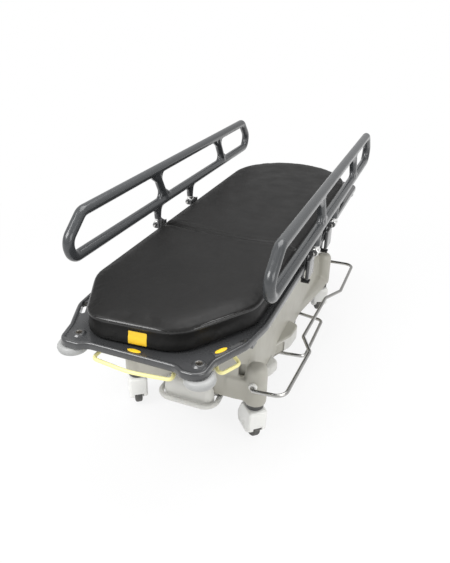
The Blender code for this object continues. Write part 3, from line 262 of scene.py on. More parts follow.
def shown(mesh, name):
    made = bpy.data.objects.new(name, mesh)
    SCENE.collection.objects.link(made)
    return made


def finished(work, name):
    """The object of a bmesh, with its doubles merged and its faces turned outwards."""
    bmesh.ops.remove_doubles(work, verts=work.verts, dist=2e-6)
    bmesh.ops.recalc_face_normals(work, faces=work.faces)
    mesh = bpy.data.meshes.new(name)
    work.to_mesh(mesh)
    work.free()
    smoothed(mesh)
    return shown(mesh, name)


def piece(name, add, *shape, **more):
    """The object of one shape, made by one of the add functions."""
    work = bmesh.new()
    add(work, *shape, **more)
    return finished(work, name)


def filleted(corners, closed, step=6):
    """Points along straight lines whose corners, (x, y, z, radius), are rounded."""
    points = []
    count = len(corners)
    for i, (x, y, z, radius) in enumerate(corners):
        here = Vector((x, y, z))
        if not radius or (not closed and i in (0, count - 1)):
            points.append(here)
            continue
        back = (Vector(corners[i - 1][:3]) - here).normalized()
        ahead = (Vector(corners[(i + 1) % count][:3]) - here).normalized()
        between = back.angle(ahead)
        sweep = math.pi - between
        if sweep < 0.01:
            points.append(here)
            continue
        first = here + back * radius / math.tan(between / 2)
        centre = here + (back + ahead).normalized() * radius / math.sin(between / 2)
        axis = back.cross(ahead).normalized() * -1
        pieces = max(2, math.ceil(math.degrees(sweep) / step))
        for k in range(pieces + 1):
            points.append(centre + Quaternion(axis, sweep * k / pieces) @ (first - centre))
    return points


def spaced(points, gap):
    """The same closed line with points at most gap apart."""
    made = []
    for first, last in zip(points, points[1:] + points[:1]):
        count = max(1, math.ceil((last - first).length / gap))
        made += [first.lerp(last, k / count) for k in range(count)]
    return made


def arc(u, v, radius, first, last, steps):
    """Flat points along a round edge about (u, v)."""
    turns = [first + (last - first) * k / steps for k in range(steps + 1)]
    return [(u + radius * math.cos(a), v + radius * math.sin(a)) for a in turns]


def side_outline(side, corners, step=8):
    """A closed outline of (x, y, radius) corners, given for the right and turned over for the left."""
    corners = [(side * x, y, 0, bend) for x, y, bend in corners]
    return filleted(corners if side > 0 else corners[::-1], True, step)


def rectangle(half_x, half_y, corner):
    corners = [(-half_x, -half_y), (half_x, -half_y), (half_x, half_y), (-half_x, half_y)]
    return filleted([(x, y, 0, corner) for x, y in corners], True, 9)


def drawn_in(points, inset):
    """An anticlockwise outline moved inwards along its own normals."""
    moved = []
    for k, point in enumerate(points):
        along = (points[(k + 1) % len(points)] - points[k - 1]).normalized()
        moved.append(point + Vector((-along.y, along.x, 0)) * inset)
    return moved


def at_height(points, z):
    return [Vector((point.x, point.y, z)) for point in points]


def add_rings(work, rings, round_again=False):
    """A skin through rings of equally many points, each extruded from the one before it."""
    row = [work.verts.new(point) for point in rings[0]]
    edges = [work.edges.new((row[k - 1], row[k])) for k in range(len(row))]
    first = edges
    for ring in rings[1:] + (rings[:1] if round_again else []):
        grown = bmesh.ops.extrude_edge_only(work, edges=edges)["geom"]
        fresh = {item for item in grown if isinstance(item, bmesh.types.BMVert)}
        ends = [[line.other_vert(spot) for line in spot.link_edges] for spot in row]
        row = [next(end for end in found if end in fresh) for found in ends]
        for spot, point in zip(row, ring):
            spot.co = point
        edges = [work.edges.get((row[k - 1], row[k])) for k in range(len(row))]
    if not round_again:
        bmesh.ops.edgeloop_fill(work, edges=first)
        bmesh.ops.edgeloop_fill(work, edges=edges)


def add_tube(work, points, radius, closed=False, sides=18, dome=True):
    """A round rod along points, with domed ends where it is open."""
    count = len(points)
    aims = []
    for i in range(count):
        before = points[i - 1] if closed or i else points[0]
        after = points[(i + 1) % count] if closed or i < count - 1 else points[-1]
        aims.append((after - before).normalized())
    side = aims[0].orthogonal().normalized()
    sides_at = []
    for i, aim in enumerate(aims):
        if i:
            side = aims[i - 1].rotation_difference(aim) @ side
        side = (side - aim * side.dot(aim)).normalized()
        sides_at.append(side)
    twist = 0.0
    if closed:
        last = aims[-1].rotation_difference(aims[0]) @ sides_at[-1]
        twist = math.atan2(sides_at[0].cross(last).dot(aims[0]), sides_at[0].dot(last))
    rings = []

    def ring(centre, aim, start, size, turn):
        other = aim.cross(start)
        spokes = [2 * math.pi * k / sides + turn for k in range(sides)]
        return [centre + (start * math.cos(a) + other * math.sin(a)) * size for a in spokes]

    bulge = [(math.sin(a), math.cos(a)) for a in (1.45, 1.15, 0.8, 0.4)] if dome and not closed else []
    for out, size in bulge:
        rings.append(ring(points[0] - aims[0] * radius * 0.45 * out, aims[0], sides_at[0], radius * size, 0))
    for i, point in enumerate(points):
        rings.append(ring(point, aims[i], sides_at[i], radius, -twist * i / count))
    for out, size in reversed(bulge):
        tip = points[-1] + aims[-1] * radius * 0.45 * out
        rings.append(ring(tip, aims[-1], sides_at[-1], radius * size, 0))
    add_rings(work, rings, round_again=closed)


def add_lathe(work, profile, at, axis=(0, 0, 1), steps=48, ring=False):
    """A turned shape: (radius, height) points spun about an axis through at."""
    turn = Vector((0, 0, 1)).rotation_difference(Vector(axis)).to_matrix()
    if not ring:
        profile = [(0, profile[0][1]), *profile, (0, profile[-1][1])]
    row = [work.verts.new(Vector(at) + turn @ Vector((radius, 0, height))) for radius, height in profile]
    lines = [work.edges.new(pair) for pair in zip(row, row[1:])]
    if ring:
        lines.append(work.edges.new((row[-1], row[0])))
    bmesh.ops.spin(
        work, geom=row + lines, cent=Vector(at), axis=Vector(axis), angle=2 * math.pi, steps=steps,
        use_merge=True,
    )


def add_block(work, first, last, edge, segments=3):
    """A block between two opposite corners, with rounded edges."""
    low = Vector([min(pair) for pair in zip(first, last)])
    high = Vector([max(pair) for pair in zip(first, last)])
    made = bmesh.ops.create_cube(work, size=1)
    bmesh.ops.scale(work, vec=high - low, verts=made["verts"])
    bmesh.ops.translate(work, vec=(low + high) / 2, verts=made["verts"])
    edges = list({line for spot in made["verts"] for line in spot.link_edges})
    bmesh.ops.bevel(
        work, geom=edges, offset=edge, offset_type="OFFSET", affect="EDGES", segments=segments,
        profile=0.5, material=-1,
    )


def add_plate(work, outline, low, high, edge, segments, bottom=None):
    """A flat outline as a plate with rounded rims."""
    bottom = edge if bottom is None else bottom
    turns = [math.pi / 2 * k / segments for k in range(segments + 1)]
    rims = [(bottom * (1 - math.sin(a)), low + bottom * (1 - math.cos(a))) for a in turns]
    rims += [(edge * (1 - math.cos(a)), high - edge * (1 - math.sin(a))) for a in turns]
    add_rings(work, [at_height(drawn_in(outline, inset), z) for inset, z in rims])


def settle(obj):
    """Makes an object's modifiers into its mesh."""
    mesh = bpy.data.meshes.new_from_object(obj.evaluated_get(bpy.context.evaluated_depsgraph_get()))
    old = obj.data
    obj.modifiers.clear()
    obj.data = mesh
    bpy.data.meshes.remove(old)


def fused(work, name, voxel, rounds, sharp=60):
    """Overlapping closed shapes grown into one skin whose inner corners are filleted."""
    made = finished(work, name)
    skin = made.modifiers.new("skin", "REMESH")
    skin.mode = "VOXEL"
    skin.voxel_size = voxel
    ease = made.modifiers.new("ease", "SMOOTH")
    ease.factor = 0.5
    ease.iterations = rounds
    settle(made)
    smoothed(made.data, sharp)
    return made


def cut(obj, name, add, *shape, **more):
    """Takes a shape, made by one of the add functions, out of an object."""
    tool = piece(name, add, *shape, **more)
    step = obj.modifiers.new("cut", "BOOLEAN")
    step.operation = "DIFFERENCE"
    step.solver = "EXACT"
    step.object = tool
    bpy.context.view_layer.update()
    settle(obj)
    mesh = tool.data
    bpy.data.objects.remove(tool, do_unlink=True)
    bpy.data.meshes.remove(mesh)
    smoothed(obj.data)


def bore(obj, name, radius, depth, at, axis=(0, 0, 1), steps=48):
    """Drills a round hole from a place along an axis."""
    cut(obj, name, add_lathe, [(radius, 0), (radius, depth)], at, axis, steps)


def points_of(mesh):
    found = np.empty(len(mesh.vertices) * 3)
    mesh.vertices.foreach_get("co", found)
    return found.reshape(-1, 3)


def put_points(mesh, points):
    mesh.vertices.foreach_set("co", np.ascontiguousarray(points, dtype=np.float32).ravel())
    mesh.update()


def trued(obj, lines):
    """Brings fused rods back to their round shape, but for the fillets between them."""
    points = points_of(obj.data)
    goal, best = points.copy(), np.ones(len(points))
    for line, radius in lines:
        for first, last in zip(line, line[1:]):
            foot, along = np.array(first), np.array(last - first)
            share = np.clip((points - foot) @ along / (along @ along), 0, 1)
            away = points - foot - share[:, None] * along
            far = np.maximum(np.linalg.norm(away, axis=1), 1e-9)
            nearer = np.abs(far - radius) < best
            best[nearer] = np.abs(far - radius)[nearer]
            goal[nearer] = (points + away * (radius / far - 1)[:, None])[nearer]
    # Wholly within 0.9 mm of a rod's surface, and not at all beyond 1.8 mm
    weight = np.clip((0.0018 - best) / 0.0009, 0, 1)
    put_points(obj.data, points + (goal - points) * weight[:, None])


def mirrored(obj, name):
    """A copy on the other side of the trolley."""
    mesh = obj.data.copy()
    mesh.name = name
    mesh.transform(Matrix.Diagonal((-1, 1, 1, 1)))
    mesh.flip_normals()
    return shown(mesh, name)


def dress(obj, body, slot, material, *nodes):
    """Gives a piece its finish, the body that it rides on, if only one, and the nodes that it stands for."""
    obj.data.materials.clear()
    obj.data.materials.append(material)
    if body:
        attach(obj, body)
    if nodes:
        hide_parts(*nodes)


# The base

# (height, inset) up the cover's walls, and (rise, share of the radius) up a tower
HUMP = ((COVER_LOW, 0.0), (COVER_HIGH - 0.048, 0.013), (COVER_HIGH - 0.030, 0.016),
        (COVER_HIGH - 0.016, 0.022), (COVER_HIGH - 0.006, 0.030), (COVER_HIGH, 0.042))
TOWER = ((0.03, 1.0), (0.80, 1.0), (0.86, 0.98), (0.91, 0.92), (0.95, 0.82), (0.98, 0.66), (1.0, 0.42))
SPOKES = [2 * math.pi * k / 40 for k in range(40)]
COVER_WALL = 0.006
work = bmesh.new()
add_rings(work, [at_height(rectangle(COVER_X - t, COVER_Y - 1.6 * t, 0.070), z) for z, t in HUMP])
for tag, side, end in CORNERS:
    rings = []
    for rise, share in TOWER:
        centre = Vector((side * (CASTOR_X + 0.005 * rise), end * CASTOR_Y, TOWER_LOW + rise * TOWER_HEIGHT))
        size = (TOWER_RADIUS - 0.001 - 0.005 * rise) * share
        rings.append([centre + Vector((math.cos(a), math.sin(a), 0)) * size for a in SPOKES])
    add_rings(work, rings)
    inner, outer = (side * 0.150, end * 0.550), (side * CASTOR_X, end * (COVER_Y - 0.001))
    add_block(work, (*inner, COVER_LOW), (*outer, TOWER_LOW + 0.118), 0.010)
for tag, side in SIDES:
    rings = []
    for rise, out in ((0.001, 0.053), (0.020, 0.047), (0.050, 0.020)):
        corners = [(COVER_X - 0.006, 0.140), (COVER_X - 0.003 + 0.1 * out, 0.170),
                   (COVER_X + out, CASTOR_Y - 0.060), (COVER_X + out, CASTOR_Y - 0.020),
                   (COVER_X - 0.006, CASTOR_Y - 0.010)]
        rings.append([Vector((side * x, y, COVER_LOW + rise)) for x, y in corners])
    add_rings(work, rings)
cover = fused(work, "base_cover_skin", 0.0045, 16)
inside = []
for z, t in HUMP:
    outline = rectangle(COVER_X - t - COVER_WALL, COVER_Y - 1.6 * t - COVER_WALL, 0.066)
    inside.append(at_height(outline, z - (0.02 if z == COVER_LOW else COVER_WALL)))
cut(cover, "cover_hollow", add_rings, inside)
for tag, side, end in CORNERS:
    at = (side * CASTOR_X, end * CASTOR_Y, TOWER_LOW - 0.010)
    bore(cover, "post_hole", 0.0335, 0.153, at, steps=32)
    at = (side * BRAKE_X, end * (BRAKE_Y - 0.040), BRAKE_Z)
    bore(cover, "eye_hole", 0.0084, 0.050, at, (0, end, 0), 24)
# Recesses beside the towers, and the arches over the arms of the side pedals
for tag, side, end in CORNERS:
    inner, outer = (side * 0.203, end * 0.520, 0.300), (side * 0.229, end * 0.640, 0.354)
    cut(cover, "tower_recess", add_block, inner, outer, 0.010, 4)
for tag, side in SIDES:
    inner, outer = (side * 0.215, -0.440, COVER_LOW - 0.060), (side * 0.330, -0.245, COVER_LOW + 0.024)
    cut(cover, "pedal_arch", add_block, inner, outer, 0.022, 5)
for end in (-1, 1):
    bore(cover, "column_hole", COLUMN_RADIUS + 0.003, 0.04, (0, end * COLUMN_Y, COVER_HIGH - 0.03))
dress(cover, "base", "cream_moulding", CREAM, "base_cover")
work = bmesh.new()
for tag, side, end in CORNERS:
    add_block(work, (side * 0.190, end * 0.554, 0.288), (side * 0.240, end * 0.560, 0.366), 0.002)
dress(finished(work, "recess_backs"), "base", "cream_moulding", CREAM)
BUSH = ((0.0085, 0.010), (0.0150, 0.010), (0.0165, 0.012), (0.0165, 0.0285), (0.0150, 0.0308),
        (0.0115, 0.0315), (0.0085, 0.0300))
work = bmesh.new()
for tag, side, end in CORNERS:
    add_lathe(work, BUSH, (side * BRAKE_X, end * (BRAKE_Y - 0.045), BRAKE_Z), (0, end, 0), 40, True)
dress(finished(work, "eyelet_bushes"), "base", "white_moulding", WHITE)

# Castors: each is made facing along x, then turned and moved to its corner
CENTRE = Vector((FORK_TRAIL, 0, WHEEL_RADIUS))
SKIRT, BACK, FRONT = 0.50 * WHEEL_RADIUS, FORK_TRAIL - WHEEL_RADIUS - 0.008, FORK_TRAIL + WHEEL_RADIUS + 0.008
HOOD = (
    (BACK + 0.006, SKIRT + 0.030, 0, 0.008),
    (BACK + 0.042, SKIRT, 0, 0.020),
    (FRONT - 0.012, SKIRT, 0, 0.012),
    (FRONT, WHEEL_RADIUS + 0.012, 0, 0.040),
    (FRONT - 0.044, FORK_TOP, 0, 0.040),
    (BACK, FORK_TOP, 0, 0.012),
)
WHEEL_ROOM, POCKET_HALF = WHEEL_RADIUS + 0.004, WHEEL_WIDTH / 2 + 0.0015
POCKET = [(FORK_TRAIL - WHEEL_ROOM, -0.010), (FORK_TRAIL + WHEEL_ROOM, -0.010)]
POCKET += arc(FORK_TRAIL, WHEEL_RADIUS, WHEEL_ROOM, 0, math.pi, 24)
HUB_CAP = ((0.011, 0), (0.011, 0.0018), (0.009, 0.0030), (0.004, 0.0030), (0.0036, 0.0018))
# (radius, distance from the flank) from the hub to the middle of the tread
TYRE = ((0.0062, 0), (0.019, 0), (0.021, 0.0015), (0.024, 0.005), (WHEEL_RADIUS - 0.017, 0.005),
        (WHEEL_RADIUS - 0.013, 0.0035), (WHEEL_RADIUS - 0.006, 0.003), (WHEEL_RADIUS - 0.0022, 0.005),
        (WHEEL_RADIUS - 0.0004, 0.0085), (WHEEL_RADIUS, 0.012))
COLLAR_RING = ((0.013, COLLAR_LOW), (0.034, COLLAR_LOW), (0.036, COLLAR_LOW + 0.002),
               (0.0368, COLLAR_HIGH + 0.003), (0.0350, COLLAR_HIGH + 0.005), (0.013, COLLAR_HIGH + 0.005))
for tag, side, end in CORNERS:
    here = Vector((side * CASTOR_X, end * CASTOR_Y, 0))
    turn = Matrix.Translation(here) @ Matrix.Rotation(math.radians(FACING[tag]), 4, "Z")
    collar = piece("collar_" + tag, add_lathe, COLLAR_RING, here, ring=True)
    dress(collar, "base", "dark_collar", COLLAR, "castor_collar_" + tag)

    work = bmesh.new()
    add_plate(work, filleted(HOOD, True, 8), -FORK_WIDTH / 2, FORK_WIDTH / 2, 0.010, 6)
    bmesh.ops.transform(work, matrix=Matrix.Rotation(math.pi / 2, 4, "X"), verts=work.verts)
    hood = finished(work, "hood_" + tag)
    flanks = [[Vector((u, y, v)) for u, v in POCKET] for y in (-POCKET_HALF, POCKET_HALF)]
    cut(hood, "wheel_pocket", add_rings, flanks)
    work = bmesh.new()
    work.from_mesh(hood.data)
    add_lathe(work, [(0.006, -1.25 * POCKET_HALF), (0.006, 1.25 * POCKET_HALF)], CENTRE, (0, 1, 0), 20)
    add_lathe(work, [(0.012, FORK_TOP - 0.004), (0.012, TOWER_LOW + 0.120)], (0, 0, 0), steps=24)
    for face in (-1, 1):
        add_lathe(work, HUB_CAP, CENTRE + Vector((0, face * (FORK_WIDTH / 2 - 0.001), 0)), (0, face, 0), 28)
    bmesh.ops.transform(work, matrix=turn, verts=work.verts)
    bpy.data.objects.remove(hood, do_unlink=True)
    dress(finished(work, "hood_" + tag), "swivel_" + tag, "white_moulding", WHITE, "castor_fork_" + tag)

    half = [(radius, WHEEL_WIDTH / 2 - inset) for radius, inset in TYRE]
    work = bmesh.new()
    add_lathe(work, half + [(radius, -y) for radius, y in reversed(half)], CENTRE, (0, 1, 0), 64, True)
    bmesh.ops.transform(work, matrix=turn, verts=work.verts)
    dress(finished(work, "tyre_" + tag), "wheel_" + tag, "grey_tyre", RUBBER, "castor_wheel_" + tag)

# Pumps at the sides, their pedals and the brake bars
ROOT = COVER_X - 0.026
SIDE_POD = ((ROOT, -0.300, 0), (COVER_X + 0.038, -0.150, 0.060), (COVER_X + 0.044, -0.050, 0.030),
            (ROOT, -0.022, 0))
MOUTH = ((ROOT - 0.010, -0.420, 0), (COVER_X + 0.018, -0.250, 0), (COVER_X + 0.022, -0.090, 0.020),
         (ROOT - 0.010, -0.070, 0))
CHEEK = ((ROOT, -0.292, 0), (COVER_X + 0.0186, -0.189, 0), (COVER_X + 0.0186, -0.085, 0), (ROOT, -0.075, 0))
SIDE_SKIRT = ((ROOT, -0.436, 0), (COVER_X + 0.020, -0.398, 0.040), (COVER_X + 0.036, -0.330, 0.030),
              (ROOT, -0.292, 0))
POD_LOW, PEDAL_OUT = SIDE_PEDAL_Z + 0.0130, COVER_X + 0.114
PEDAL_BENDS = ((PEDAL_X, -0.190, 0), (PEDAL_OUT, -0.175, 0.028), (PEDAL_OUT, 0.165, 0.028),
               (PEDAL_X, 0.190, 0))
BRAKE_BENDS = (
    (0, -BRAKE_Y + 0.0355, 0), (0, -BRAKE_Y, 0.012), (BRAKE_REACH - 0.024, -BRAKE_Y + 0.006, 0.045),
    (BRAKE_REACH - 0.010, -0.295, 0.030), (BRAKE_REACH - 0.066, -0.190, 0.030),
    (BRAKE_REACH - 0.054, 0.195, 0.030), (BRAKE_REACH, 0.300, 0.030),
    (BRAKE_REACH, BRAKE_Y - 0.006, 0.042), (0, BRAKE_Y, 0.012), (0, BRAKE_Y - 0.0355, 0),
)
for tag, side in SIDES:
    outline = spaced(side_outline(side, SIDE_POD, 5), 0.012)
    pod = piece("side_pod_" + tag, add_plate, outline, POD_LOW, COVER_LOW + 0.068, 0.014, 8, 0.009)
    mouth = side_outline(side, MOUTH)
    cut(pod, "pod_mouth", add_plate, mouth, POD_LOW + 0.0060, COVER_LOW + 0.057, 0.006, 4, 0.004)
    dress(pod, "base", "pale_grey_moulding", POD, "pump_pod_" + tag)
    work = bmesh.new()
    add_plate(work, outline, COVER_LOW + 0.0600, COVER_LOW + 0.0686, 0.0080, 6, 0.0005)
    add_plate(work, side_outline(side, CHEEK), POD_LOW + 0.0035, COVER_LOW + 0.0605, 0.001, 2)
    dress(finished(work, "pod_roof_" + tag), "base", "cream_moulding", CREAM)
    outline = side_outline(side, SIDE_SKIRT)
    skirt = piece("side_skirt_" + tag, add_plate, outline, POD_LOW, COVER_LOW + 0.046, 0.016, 8, 0.009)
    dress(skirt, "base", "pale_grey_moulding", POD)
    path = [(side * x, y, SIDE_PEDAL_Z, bend) for x, y, bend in PEDAL_BENDS]
    work = bmesh.new()
    add_tube(work, filleted(path, False), 0.008)
    add_tube(work, [Vector((side * PEDAL_X, y, SIDE_PEDAL_Z)) for y in (-0.1955, 0.0, 0.1955)], 0.0078)
    dress(finished(work, "side_pedal_" + tag), "pedal_" + tag, "chrome", CHROME, "pump_pedal_" + tag)
    path = [(side * (BRAKE_X + x), y, BRAKE_Z + BRAKE_LEAN * x, bend) for x, y, bend in BRAKE_BENDS]
    rod = piece("brake_rod_" + tag, add_tube, filleted(path, False), BRAKE_ROD)
    dress(rod, "brake_" + tag, "chrome", CHROME, "brake_bar_" + tag)

# Pump and pedal at the foot end: (height above the pedal's shaft, inset) up the housing
NOSE = ((-0.016, 0.014), (-0.012, 0.006), (-0.006, 0.001), (0.014, 0.0), (0.040, 0.0015), (0.056, 0.005),
        (0.068, 0.012), (0.075, 0.024))
rings = []
for z, inset in NOSE:
    half, front, rear = 0.110 - inset, -COVER_Y - 0.040 + inset, -COVER_Y - 0.0004
    bend = min(0.034, rear - front - 0.004)
    corners = [(half, rear, 0, 0), (-half, rear, 0, 0), (-half, front, 0, bend), (half, front, 0, bend)]
    rings.append(at_height(filleted(corners, True, 9), FOOT_PEDAL_Z + z))
dress(piece("foot_pod", add_rings, rings), "base", "pale_grey_moulding", POD, "pump_pod_foot")
path = [(-0.122, FOOT_SHAFT_Y, FOOT_PEDAL_Z, 0), (-0.128, -COVER_Y - 0.058, FOOT_PEDAL_Z, 0.055),
        (0.128, -COVER_Y - 0.058, FOOT_PEDAL_Z, 0.055), (0.122, FOOT_SHAFT_Y, FOOT_PEDAL_Z, 0)]
work = bmesh.new()
add_tube(work, filleted(path, False), 0.011)
add_tube(work, [Vector((x, FOOT_SHAFT_Y, FOOT_PEDAL_Z)) for x in (-0.126, 0.0, 0.126)], 0.0088)
dress(finished(work, "foot_pedal_hoop"), "pedal_foot", "pale_grey_moulding", POD, "pump_pedal_foot")

# Lifting columns: the sleeve with its wiper ring, and the ram with a groove under the beam
TALL = COLUMN_HIGH - COLUMN_LOW
SLEEVE = (
    (RAM_RADIUS + 0.0004, 0.008), (RAM_RADIUS + 0.0004, TALL + 0.004), (RAM_RADIUS + 0.003, TALL + 0.006),
    (RAM_RADIUS + 0.0045, TALL + 0.004), (RAM_RADIUS + 0.0045, TALL), (COLUMN_RADIUS - 0.002, TALL),
    (COLUMN_RADIUS, TALL - 0.002), (COLUMN_RADIUS, TALL - 0.014), (COLUMN_RADIUS - 0.001, TALL - 0.015),
    (COLUMN_RADIUS - 0.001, TALL - 0.018), (COLUMN_RADIUS, TALL - 0.019), (COLUMN_RADIUS, 0.002),
    (COLUMN_RADIUS - 0.002, 0.0), (0.004, 0.0), (0.004, 0.008),
)
RAM = (
    (RAM_RADIUS - 0.004, COLUMN_LOW + 0.011), (RAM_RADIUS - 0.0003, COLUMN_LOW + 0.015),
    (RAM_RADIUS - 0.0003, HEAD_LOW - 0.0090), (RAM_RADIUS - 0.0020, HEAD_LOW - 0.0080),
    (RAM_RADIUS - 0.0020, HEAD_LOW - 0.0060), (RAM_RADIUS - 0.0003, HEAD_LOW - 0.0050),
    (RAM_RADIUS - 0.0003, HEAD_LOW - 0.0006),
)
for tag, end in (("foot", -1), ("head", 1)):
    sleeve = piece("sleeve_" + tag, add_lathe, SLEEVE, (0, end * COLUMN_Y, COLUMN_LOW), steps=64, ring=True)
    dress(sleeve, "base", "painted_steel", STEEL, "column_tube_" + tag)
    ram = piece("ram_" + tag, add_lathe, RAM, (0, end * COLUMN_Y, 0), steps=64)
    dress(ram, "lift", "chrome", CHROME, "column_ram_" + tag)

# The deck

right_side = [
    (FOOT_LOBE.x - 0.066, -DECK_Y - 0.004, 0, 0.040),
    (FOOT_LOBE.x - 0.034, -DECK_Y - 0.022, 0, 0.030),
    (FOOT_LOBE.x + 0.040, -DECK_Y - 0.022, 0, 0.045),
    (FOOT_LOBE.x + 0.044, -DECK_Y + 0.074, 0, 0.050),
    (MATTRESS_X + 0.002, -DECK_Y + 0.200, 0, 0.120),
    (DECK_X, -DECK_Y + 0.340, 0, 0.160),
    (DECK_X, MATTRESS_Y - 0.018, 0, 0.060),
    (MATTRESS_X - 0.090, DECK_Y + 0.022, 0, 0.090),
]
left_side = [(-x, y, z, bend) for x, y, z, bend in reversed(right_side)]
for k, share in ((3, 0.7), (4, 1.0)):
    x, y, z, bend = left_side[k]
    left_side[k] = (x - LEFT_FLANK * share, y, z, bend)
outline = spaced(filleted(right_side + left_side, True, 5), 0.030)
# (inset, height) from the underside over the lip into the trough
LIP_TOP, TROUGH = DECK_HIGH + 0.0014, DECK_HIGH - 0.0046
LIP = (
    (0.0050, DECK_LOW), (0.0022, DECK_LOW + 0.0006), (0.0006, DECK_LOW + 0.0018), (0.0, DECK_LOW + 0.0040),
    (0.0002, LIP_TOP - 0.0090), (0.0010, LIP_TOP - 0.0056), (0.0026, LIP_TOP - 0.0026),
    (0.0050, LIP_TOP - 0.0007), (0.0084, LIP_TOP), (0.0124, LIP_TOP - 0.0008), (0.0150, LIP_TOP - 0.0028),
    (0.0170, TROUGH + 0.0012), (0.0188, TROUGH + 0.0003), (0.0215, TROUGH),
)
deck = piece("deck_rim", add_rings, [at_height(drawn_in(outline, inset), z) for inset, z in LIP])
BELOW, ABOVE = DECK_LOW - 0.01, DECK_HIGH + 0.01
hole = []
for end in (-1, 1):
    half = arc(0, MATTRESS_Y - MATTRESS_X, MATTRESS_X - 0.050, 0, math.pi, 40)
    hole += [Vector((-end * x, end * y, 0)) for x, y in half]
cut(deck, "panel_hole", add_rings, [at_height(hole, BELOW), at_height(hole, ABOVE)])
hold_from = Vector((MATTRESS_X - 0.014, -MATTRESS_Y + 0.200, 0))
hold_to = Vector((MATTRESS_X - 0.048, -MATTRESS_Y + 0.128, 0))
along = (hold_to - hold_from).normalized()
across = Vector((-along.y, along.x, 0)) * 0.009
hold = [hold_from - across, hold_to - across, hold_to + across, hold_from + across]
for tag, side in SIDES:
    shift = 0.0 if side > 0 else -0.7 * LEFT_FLANK
    slot = filleted([(side * p.x + shift, p.y, 0, 0.0085) for p in hold], True, 12)
    cut(deck, "hand_hold", add_rings, [at_height(slot, BELOW), at_height(slot, ABOVE)])
    inner = (side * (MATTRESS_X - 0.058), BACK_Y - 0.025, BELOW)
    outer = (side * (DECK_X - 0.0085), BACK_Y + 0.110, ABOVE)
    cut(deck, "arm_notch", add_block, inner, outer, 0.001, 1)
    for spot in (FOOT_LOBE, HEAD_LOBE):
        at = (side * spot.x, spot.y, DECK_HIGH - 0.0185)
        bore(deck, "socket", 0.0128, 0.030, at, steps=40)
dress(deck, "platform", "dark_grey_moulding", DARK, "deck")

# What the deck carries below and beside it: hinge ears, ring seats, roller pins, rail stops and bar lugs
EAR = [(BACK_Y - 0.0175, DECK_LOW + 0.004), (BACK_Y + 0.0175, DECK_LOW + 0.004)]
EAR += arc(BACK_Y, BACK_Z, 0.0175, 0, math.pi, 24)
RING_SEAT = ((0.0116, -0.0060), (0.0116, 0.0004), (0.0122, 0.0008), (0.0172, 0.0008), (0.0182, 0.0003),
             (0.0225, -0.0034), (0.0260, -0.0060))
ROLLER_PIN = ((0.016, ROLLER_LOW - 0.006), (0.016, ROLLER_LOW - 0.001), (0.0098, ROLLER_LOW - 0.0008),
              (0.0098, DECK_LOW + 0.004))
LATCH_LUG = ((0.007, DECK_LOW - 0.031), (0.009, DECK_LOW - 0.029), (0.009, DECK_LOW + 0.004))
BAR_LUG = ((0.0075, -0.012), (0.0095, -0.010), (0.0095, DECK_LOW + 0.004 - BAR_Z))
work = bmesh.new()
for tag, side in SIDES:
    add_rings(work, [[Vector((side * x, y, z)) for y, z in EAR] for x in (DECK_X - 0.0078, DECK_X - 0.0012)])
    for spot in (FOOT_LOBE, HEAD_LOBE):
        add_lathe(work, RING_SEAT, (side * spot.x, spot.y, DECK_HIGH), steps=48, ring=True)
    for spot in (FOOT_ROLLER, HEAD_LOBE):
        add_lathe(work, ROLLER_PIN, (side * spot.x, spot.y, 0), steps=32)
    for y in (RAIL_LEGS[0] + 0.105, RAIL_LEGS[1] - 0.050):
        add_lathe(work, LATCH_LUG, (side * (DECK_X - 0.020), y, 0), steps=24)
# Release bars: the two ends of the shaft, the two outer corners and the bow of the grip
BARS = {"foot": ((-0.128, -0.975), (0.128, -0.975), (-0.146, -1.028), (0.146, -1.028), 0.019)}
for tag, side in SIDES:
    BARS[tag] = ((side * 0.228, -0.895), (side * 0.262, -0.838), (side * 0.268, -0.948),
                 (side * 0.308, -0.865), 0)
bars = {}
for tag, (first, last, outer_first, outer_last, bow) in BARS.items():
    first, last = (Vector((*spot, BAR_Z)) for spot in (first, last))
    outer_first, outer_last = (Vector((*spot, BAR_Z - BAR_DROP)) for spot in (outer_first, outer_last))
    along = (last - first).normalized()
    path = [(*(first - along * 0.0265), 0), (*first, 0.0085), (*outer_first, 0.014)]
    if bow:
        path.append((*((outer_first + outer_last) / 2 + Vector((0, -bow, 0))), 0.300))
    path += [(*outer_last, 0.014), (*last, 0.0085), (*(last + along * 0.0265), 0)]
    bars[tag] = filleted(path, False)
    for spot in (first - along * 0.0215, last + along * 0.0215):
        add_lathe(work, BAR_LUG, spot, steps=24)
dress(finished(work, "deck_lugs"), "platform", "dark_grey_moulding", DARK)
for tag, path in bars.items():
    rod = piece("release_rod_" + tag, add_tube, path, BAR_ROD)
    dress(rod, "release_" + tag, "pale_yellow_rod", YELLOW_ROD, "release_bar_" + tag)

